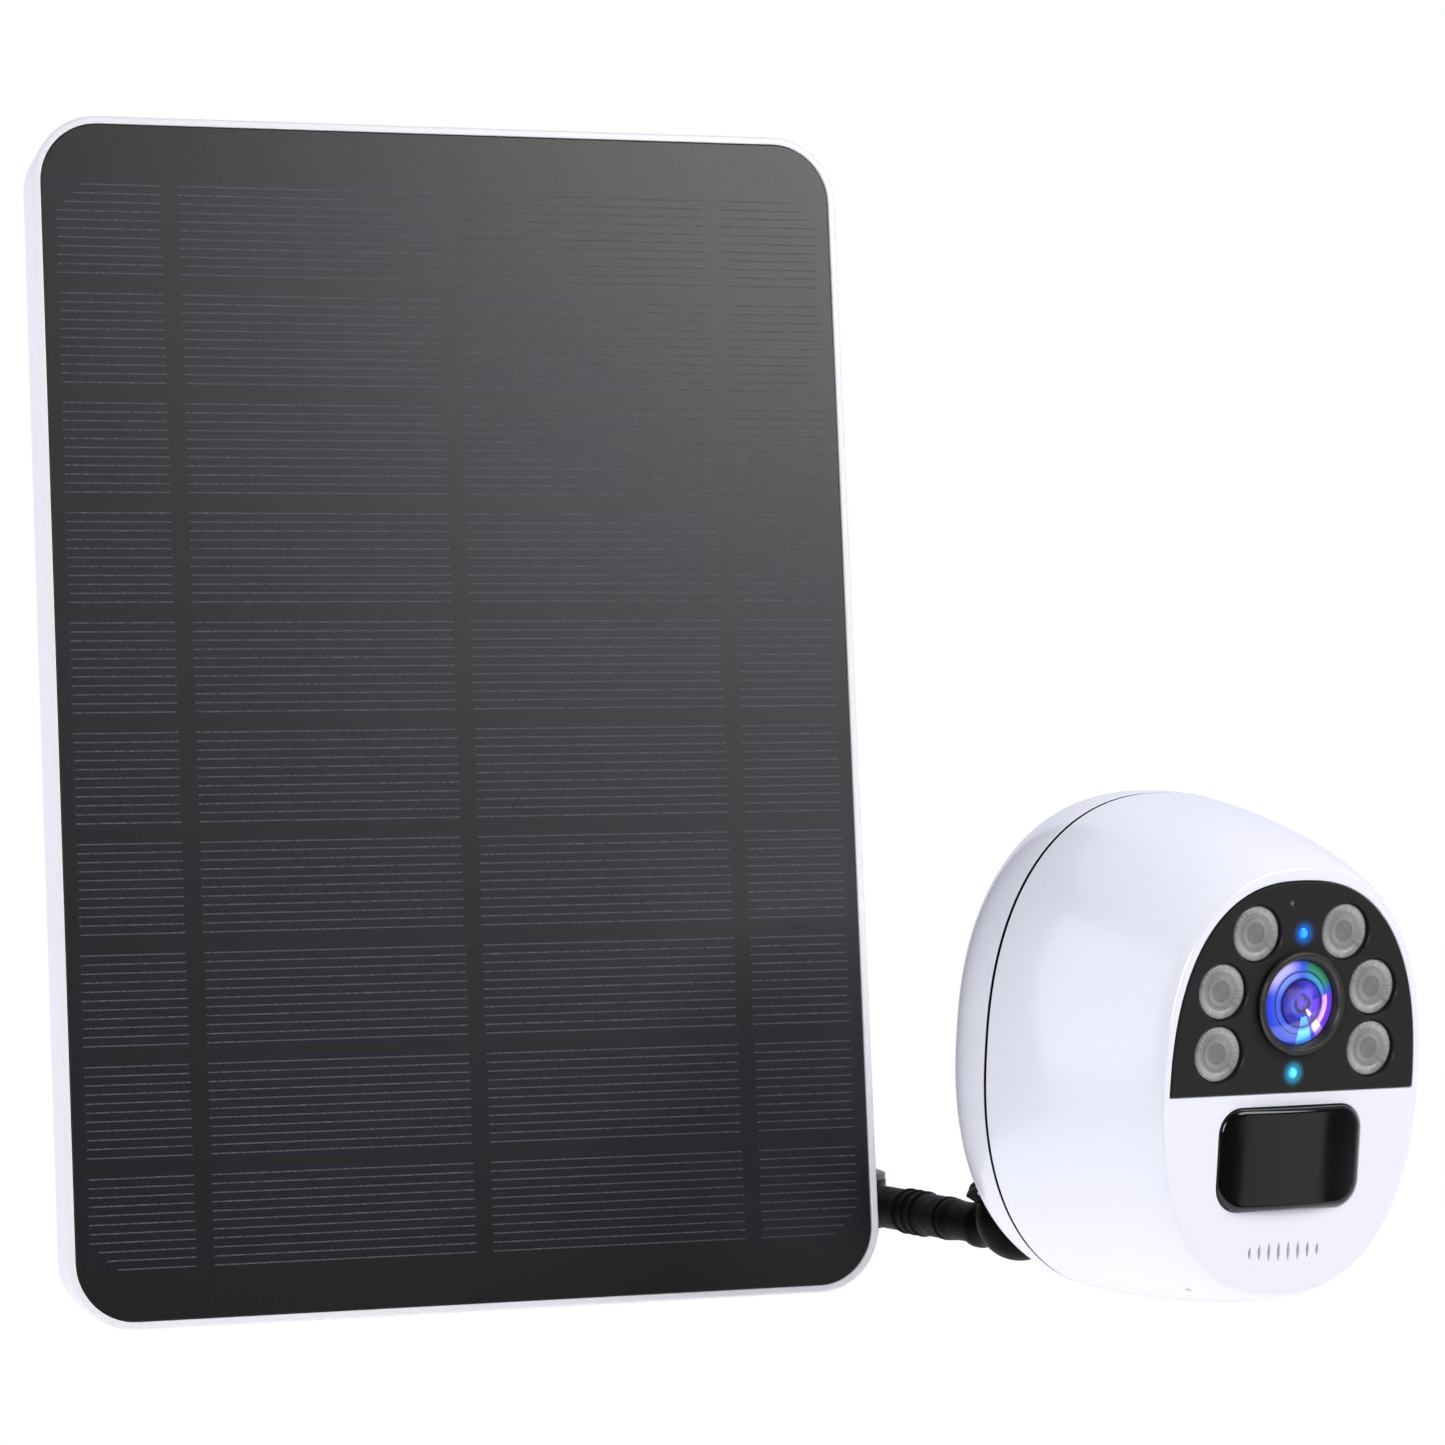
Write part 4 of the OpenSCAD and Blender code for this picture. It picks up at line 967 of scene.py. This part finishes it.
def make_sheet():
    """Dark front sheet with softened edges."""
    profile = [(0.0, 1.0), (0.0, 0.16), (0.05, 0.05), (0.16, 0.0)]
    rings = [ring_at(rounded_rect(SHEET_W - 2 * d, SHEET_H - 2 * d, SHEET_R - d, 24), y) for d, y in profile]
    return piece("panel_front_sheet", loft(rings), PANEL, "panel", LAMINATE, ["front_sheet"])


def box_shape(x0, x1, y0, y1, z0, z1):
    verts = [(x, y, z) for x in (x0, x1) for y in (y0, y1) for z in (z0, z1)]
    faces = [(0, 1, 3, 2), (4, 6, 7, 5), (0, 4, 5, 1), (2, 3, 7, 6), (0, 2, 6, 4), (1, 5, 7, 3)]
    return verts, faces


def make_finger_lines():
    """Printed finger lines in ten rows, broken at the three ribbons and cut short at the outer corners."""
    half, proud, gap = 0.115, 0.012, 1.65
    trims = (4.8, 3.0, 1.4)
    verts, faces = [], []
    for row in range(CELL_ROWS):
        for k in range(LINES_PER_ROW):
            z = SHEET_H / 2 - FIRST_LINE - row * CELL_PITCH - k * LINE_PITCH
            trim = 0.0
            if row == 0 and k < 3:
                trim = trims[k]
            if row == CELL_ROWS - 1 and k >= LINES_PER_ROW - 3:
                trim = trims[LINES_PER_ROW - 1 - k]
            end = LINE_HALF - trim
            stops = [-end, -RIBBON_X - gap, -RIBBON_X + gap, -gap, gap, RIBBON_X - gap, RIBBON_X + gap, end]
            for x0, x1 in zip(stops[::2], stops[1::2]):
                v, f = box_shape(x0, x1, -proud, 0.05, z - half, z + half)
                faces += [tuple(i + len(verts) for i in face) for face in f]
                verts += v
    return piece("cell_finger_lines", (verts, faces), PANEL, "panel", FINGER, [])


# --- Arm ---
def make_arm():
    """Stem with its eye, a bulge under the grip, a taper, a lip and the round socket."""
    stem = filleted([(0, -5.0), (3.4, -5.0, 0.4), (3.5, -9), (3.5, -30.0), (3.85, -30.3, 0.3),
                     (3.85, -31.2, 0.6), (3.6, -33.2, 1.2), (3.55, -38.4, 0.5), (3.7, -38.8, 0.2),
                     (4.25, -39.3, 0.4), (4.25, -40.8, 0.5), (3.7, -43.0), (3.5, -46.5), (0, -46.5)])
    socket_lean, ball_gap, sweep, steps = STUD_LOCAL - 4.3, 0.15, 122, 24
    ball = moved(0, -ARM_L, BALL_RISE) @ turned(-socket_lean, "X")
    inner = BALL_R + ball_gap
    outer = [(0, SOCKET_R)] + arc(SOCKET_R, [90 - sweep * i / steps for i in range(1, steps + 1)])
    lip = filleted([outer[-1], (6.2, -4.35, 0.35), (5.8, -4.35, 0.2), (5.5, -4.05)])
    cup = arc(inner, range(-42, 91, 6))
    cup[-1] = (0, inner)
    socket = (*lathe(outer + lip[1:] + cup, 72), ball)
    clamp = ball @ turned(CLAMP_TURN, "Y")
    lug = (*lug_shape(), clamp)
    thick = 2.55
    eye = (*lathe(filleted([(0, -thick), (4.6, -thick, 0.3), (4.6, thick, 0.3), (0, thick)]), 64),
           turned(90, "X"))
    root = box_shape(-3.2, 3.2, -7.0, 0.0, -thick, thick)
    slot = (*box_shape(-SOCKET_R - 4, -SOCKET_R + 2, -4.6, 2.6, -0.25, 0.25), clamp)
    pin = (*bore(2.05, -8, 8, 40), turned(90, "X"))
    hollow = (*lathe([(0, -inner)] + arc(inner, range(-84, 90, 6)) + [(0, inner)], 64), ball)
    return piece("arm_stem_casting", lathe(stem, 64), ARM, "arm", ARM_BLACK, ["arm_stem"],
                 [slot, pin, hollow], [root, eye, socket, lug], angle=35)


def lug_shape():
    """Clamp lug with round corners."""
    outline = shifted(rounded_rect(4.2, 5.6, 0.3, 5), -SOCKET_R - 0.3, 1.0)
    return loft([[(x, -z, y) for x, z in outline] for y in (-1.3, 1.3)])


def make_grip():
    """Rubber sleeve with three raised rings."""
    sleeve_r, first_ring, ring_pitch, ring_rise, ring_step = 3.85, -16.3, 2.7, 0.38, 0.16
    profile = [(3.52, -8.0), (3.75, -7.95), (sleeve_r, -8.2)]
    for i in range(3):
        centre = first_ring - ring_pitch * i
        for k in range(-5, 6):
            profile.append((sleeve_r + ring_rise * math.cos(math.pi * k / 10) ** 2, centre - ring_step * k))
    profile += [(sleeve_r, -27.5), (4.0, -29.3), (3.98, -29.8), (3.8, -30.0), (3.52, -30.0)]
    profile = sorted(profile[:3], key=lambda p: -p[1]) + profile[3:]
    return piece("arm_grip_sleeve", tube(profile, 64), ARM, "arm", GRIP, ["grip_sleeve"],
                 angle=50)


# --- The other nodes ---
def softened(node, material, width, angle=32):
    """Stands for a CAD node with the same shape, its edges rounded by width millimetres."""
    source = frame["nodes"][node]
    obj = raw_object(node + "_soft", source.data.copy())
    bm = bmesh.new()
    bm.from_mesh(obj.data)
    bmesh.ops.remove_doubles(bm, verts=bm.verts, dist=2e-6)
    bmesh.ops.dissolve_limit(bm, angle_limit=math.radians(0.6), verts=bm.verts, edges=bm.edges)
    bm.to_mesh(obj.data)
    bm.free()
    bevel = obj.modifiers.new("edges", "BEVEL")
    bevel.width = width * MM
    bevel.segments = 2
    bevel.limit_method = "ANGLE"
    bevel.angle_limit = math.radians(angle)
    bevel.use_clamp_overlap = True
    applied(obj)
    smooth(obj, 40)
    obj.data.materials.clear()
    obj.data.materials.append(material)
    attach(obj, source["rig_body"])
    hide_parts(node)
    return obj


def finish_nodes():
    """Softens some nodes, by an edge width, and gives the rest a material."""
    soft = {
        "wall_plate": (BLACK_STEEL, 0.4), "panel_post": (BLACK_STEEL, 0.4), "side_strut": (BLACK_STEEL, 0.3),
        "arm_fork": (BLACK_STEEL, 0.25), "panel_ears": (BLACK_STEEL, 0.4), "junction_box": (WHITE_TRAY, 0.4),
        "junction_lid": (WHITE_TRAY, 0.4), "output_socket": (BLACK_PLASTIC, 0.25),
        "tilt_knob": (KNOB_BLACK, 0.7),
        "tilt_bolt": (STEEL, 0.25), "pivot_screw": (STEEL, 0.2), "pivot_cap": (CAP_PALE, 0.2),
        "lock_nut": (STEEL, 0.2), "mount_pad": (BLACK_PLASTIC, 0.3), "power_button": (BUTTON, 0.3),
        "port_flap": (FLAP, 0.2), "socket_ring": (CHROME, 0.08), "clamp_screw": (STEEL, 0.1),
    }
    plain = {
        "junction_screws": STEEL, "ear_screws": STEEL, "case_screws": STEEL, "ball_stud": BALL_STEEL,
        "thread_insert": BRASS, "lens_barrel": RING_DARK, "image_sensor": GREEN_BOARD,
        "lamp_chips": CHIP, "lamp_board": WHITE_BOARD, "light_sensor": SENSOR, "pir_sensor": CAN_STEEL,
        "speaker": BLACK_PLASTIC, "microphone": CAN_STEEL, "main_board": GREEN_BOARD,
        "wifi_antenna": BLACK_PLASTIC, "battery_cells": WRAP_BLUE, "battery_holder": BLACK_PLASTIC,
        "button_switch": BLACK_PLASTIC, "usb_port": CAN_STEEL, "solar_cells": CELL_BLUE,
        "cell_ribbons": COPPER, "panel_board": GREEN_BOARD, "charge_board": GREEN_BOARD,
    }
    for node, (material, width) in soft.items():
        softened(node, material, width)
    for node, material in plain.items():
        mesh = frame["nodes"][node].data
        mesh.materials.clear()
        mesh.materials.append(material)


# --- Stage ---
def make_stage():
    """White floor below the object and just behind it."""
    drop, width, depth, back, thick = 0.30, 4.0, 2.0, 0.25, 10
    floor = raw_object("floor", raw_mesh("floor", prism(rounded_rect(width / MM, depth / MM, 100), 0, thick),
                                         turned(90, "X")))
    floor.location = (0, back, CAD_BOX[0][2] - drop - thick * MM)
    s = Shader("floor_white", Roughness=0.9, Specular_IOR_Level=0.1)
    s.colour(s.mix(s.noise(0.01, 3), rgb(0.86, 0.86, 0.87), rgb(0.9, 0.9, 0.9)))
    s.set(Emission_Color=rgb(1, 1, 1), Emission_Strength=0.42)
    floor.data.materials.append(s.material)


def area_light(name, location, target, width, height, power, colour):
    data = bpy.data.lights.new(name, "AREA")
    data.shape = "RECTANGLE"
    data.size = width
    data.size_y = height
    data.energy = power
    data.color = colour
    light = raw_object(name, data)
    aim = Vector(target) - Vector(location)
    light.matrix_world = Matrix.Translation(location) @ aim.to_track_quat("-Z", "Y").to_matrix().to_4x4()
    return light


def make_lights():
    """Four area lights, and a world that is seen as white and lights the object mostly from behind."""
    centre = (0.0, -0.08, 0.04)
    unit = tuple(BODY.translation)
    area_light("key", (0.42, -0.62, 0.41), centre, 0.42, 0.42, 3.8, (1.0, 1.0, 1.0))
    area_light("fill_left", (-0.62, -1.0, 0.27), unit, 0.3, 0.5, 4.5, (0.97, 0.98, 1.0))
    area_light("side_left", (-1.3, 0.22, 0.3), centre, 1.0, 1.0, 3.4, (0.94, 0.95, 1.0))
    area_light("panel_right", (1.15, -1.3, -0.27), unit, 0.72, 0.5, 0.75, (1.0, 1.0, 1.0))
    world = bpy.data.worlds.new("studio")
    bpy.context.scene.world = world
    world.use_nodes = True
    tree = world.node_tree
    tree.nodes.clear()
    new, link = tree.nodes.new, tree.links.new
    output = new("ShaderNodeOutputWorld")
    seen = new("ShaderNodeBackground")
    seen.inputs["Color"].default_value = rgb(1, 1, 1)
    lit = new("ShaderNodeBackground")
    ramp = new("ShaderNodeValToRGB")
    stops = (0.27, rgb(0.05, 0.05, 0.06)), (0.62, rgb(0.80, 0.80, 0.91))
    for element, (position, colour) in zip(ramp.color_ramp.elements, stops):
        element.position, element.color = position, colour
    coords = new("ShaderNodeTexCoord")
    split = new("ShaderNodeSeparateXYZ")
    spread = new("ShaderNodeMath")
    spread.operation = "MULTIPLY_ADD"
    spread.inputs[1].default_value = 0.5
    spread.inputs[2].default_value = 0.5
    lights = new("ShaderNodeLightPath")
    mix = new("ShaderNodeMixShader")
    link(coords.outputs["Generated"], split.inputs[0])
    link(split.outputs["Y"], spread.inputs[0])
    link(spread.outputs[0], ramp.inputs[0])
    link(ramp.outputs[0], lit.inputs["Color"])
    link(lights.outputs["Is Camera Ray"], mix.inputs[0])
    link(lit.outputs[0], mix.inputs[1])
    link(seen.outputs[0], mix.inputs[2])
    link(mix.outputs[0], output.inputs[0])


def make_camera():
    """Long lens from the front left, level and slightly above the middle."""
    place, focal = (-0.3309, -1.0047, 0.0613), 137.02
    ahead, sideways = (0.3804, 0.9244, -0.0283), (0.9247, -0.3806, 0.0)
    data = bpy.data.cameras.new("view")
    data.lens = focal
    data.sensor_width = 36.0
    data.clip_end = 50
    camera = raw_object("view", data)
    forward = Vector(ahead).normalized()
    right = Vector(sideways).normalized()
    up = right.cross(forward)
    turn = Matrix((right, up, -forward)).transposed().to_4x4()
    camera.matrix_world = Matrix.Translation(place) @ turn
    bpy.context.scene.camera = camera


bpy.context.scene.view_settings.view_transform = "Standard"
make_camera()
make_front_shell()
make_rear_cover()
make_seal()
make_window()
make_lens()
make_lamps()
make_status_lights()
make_pir_window()
make_tray()
make_sheet()
make_finger_lines()
make_arm()
make_grip()
finish_nodes()
make_lights()
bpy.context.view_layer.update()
make_stage()
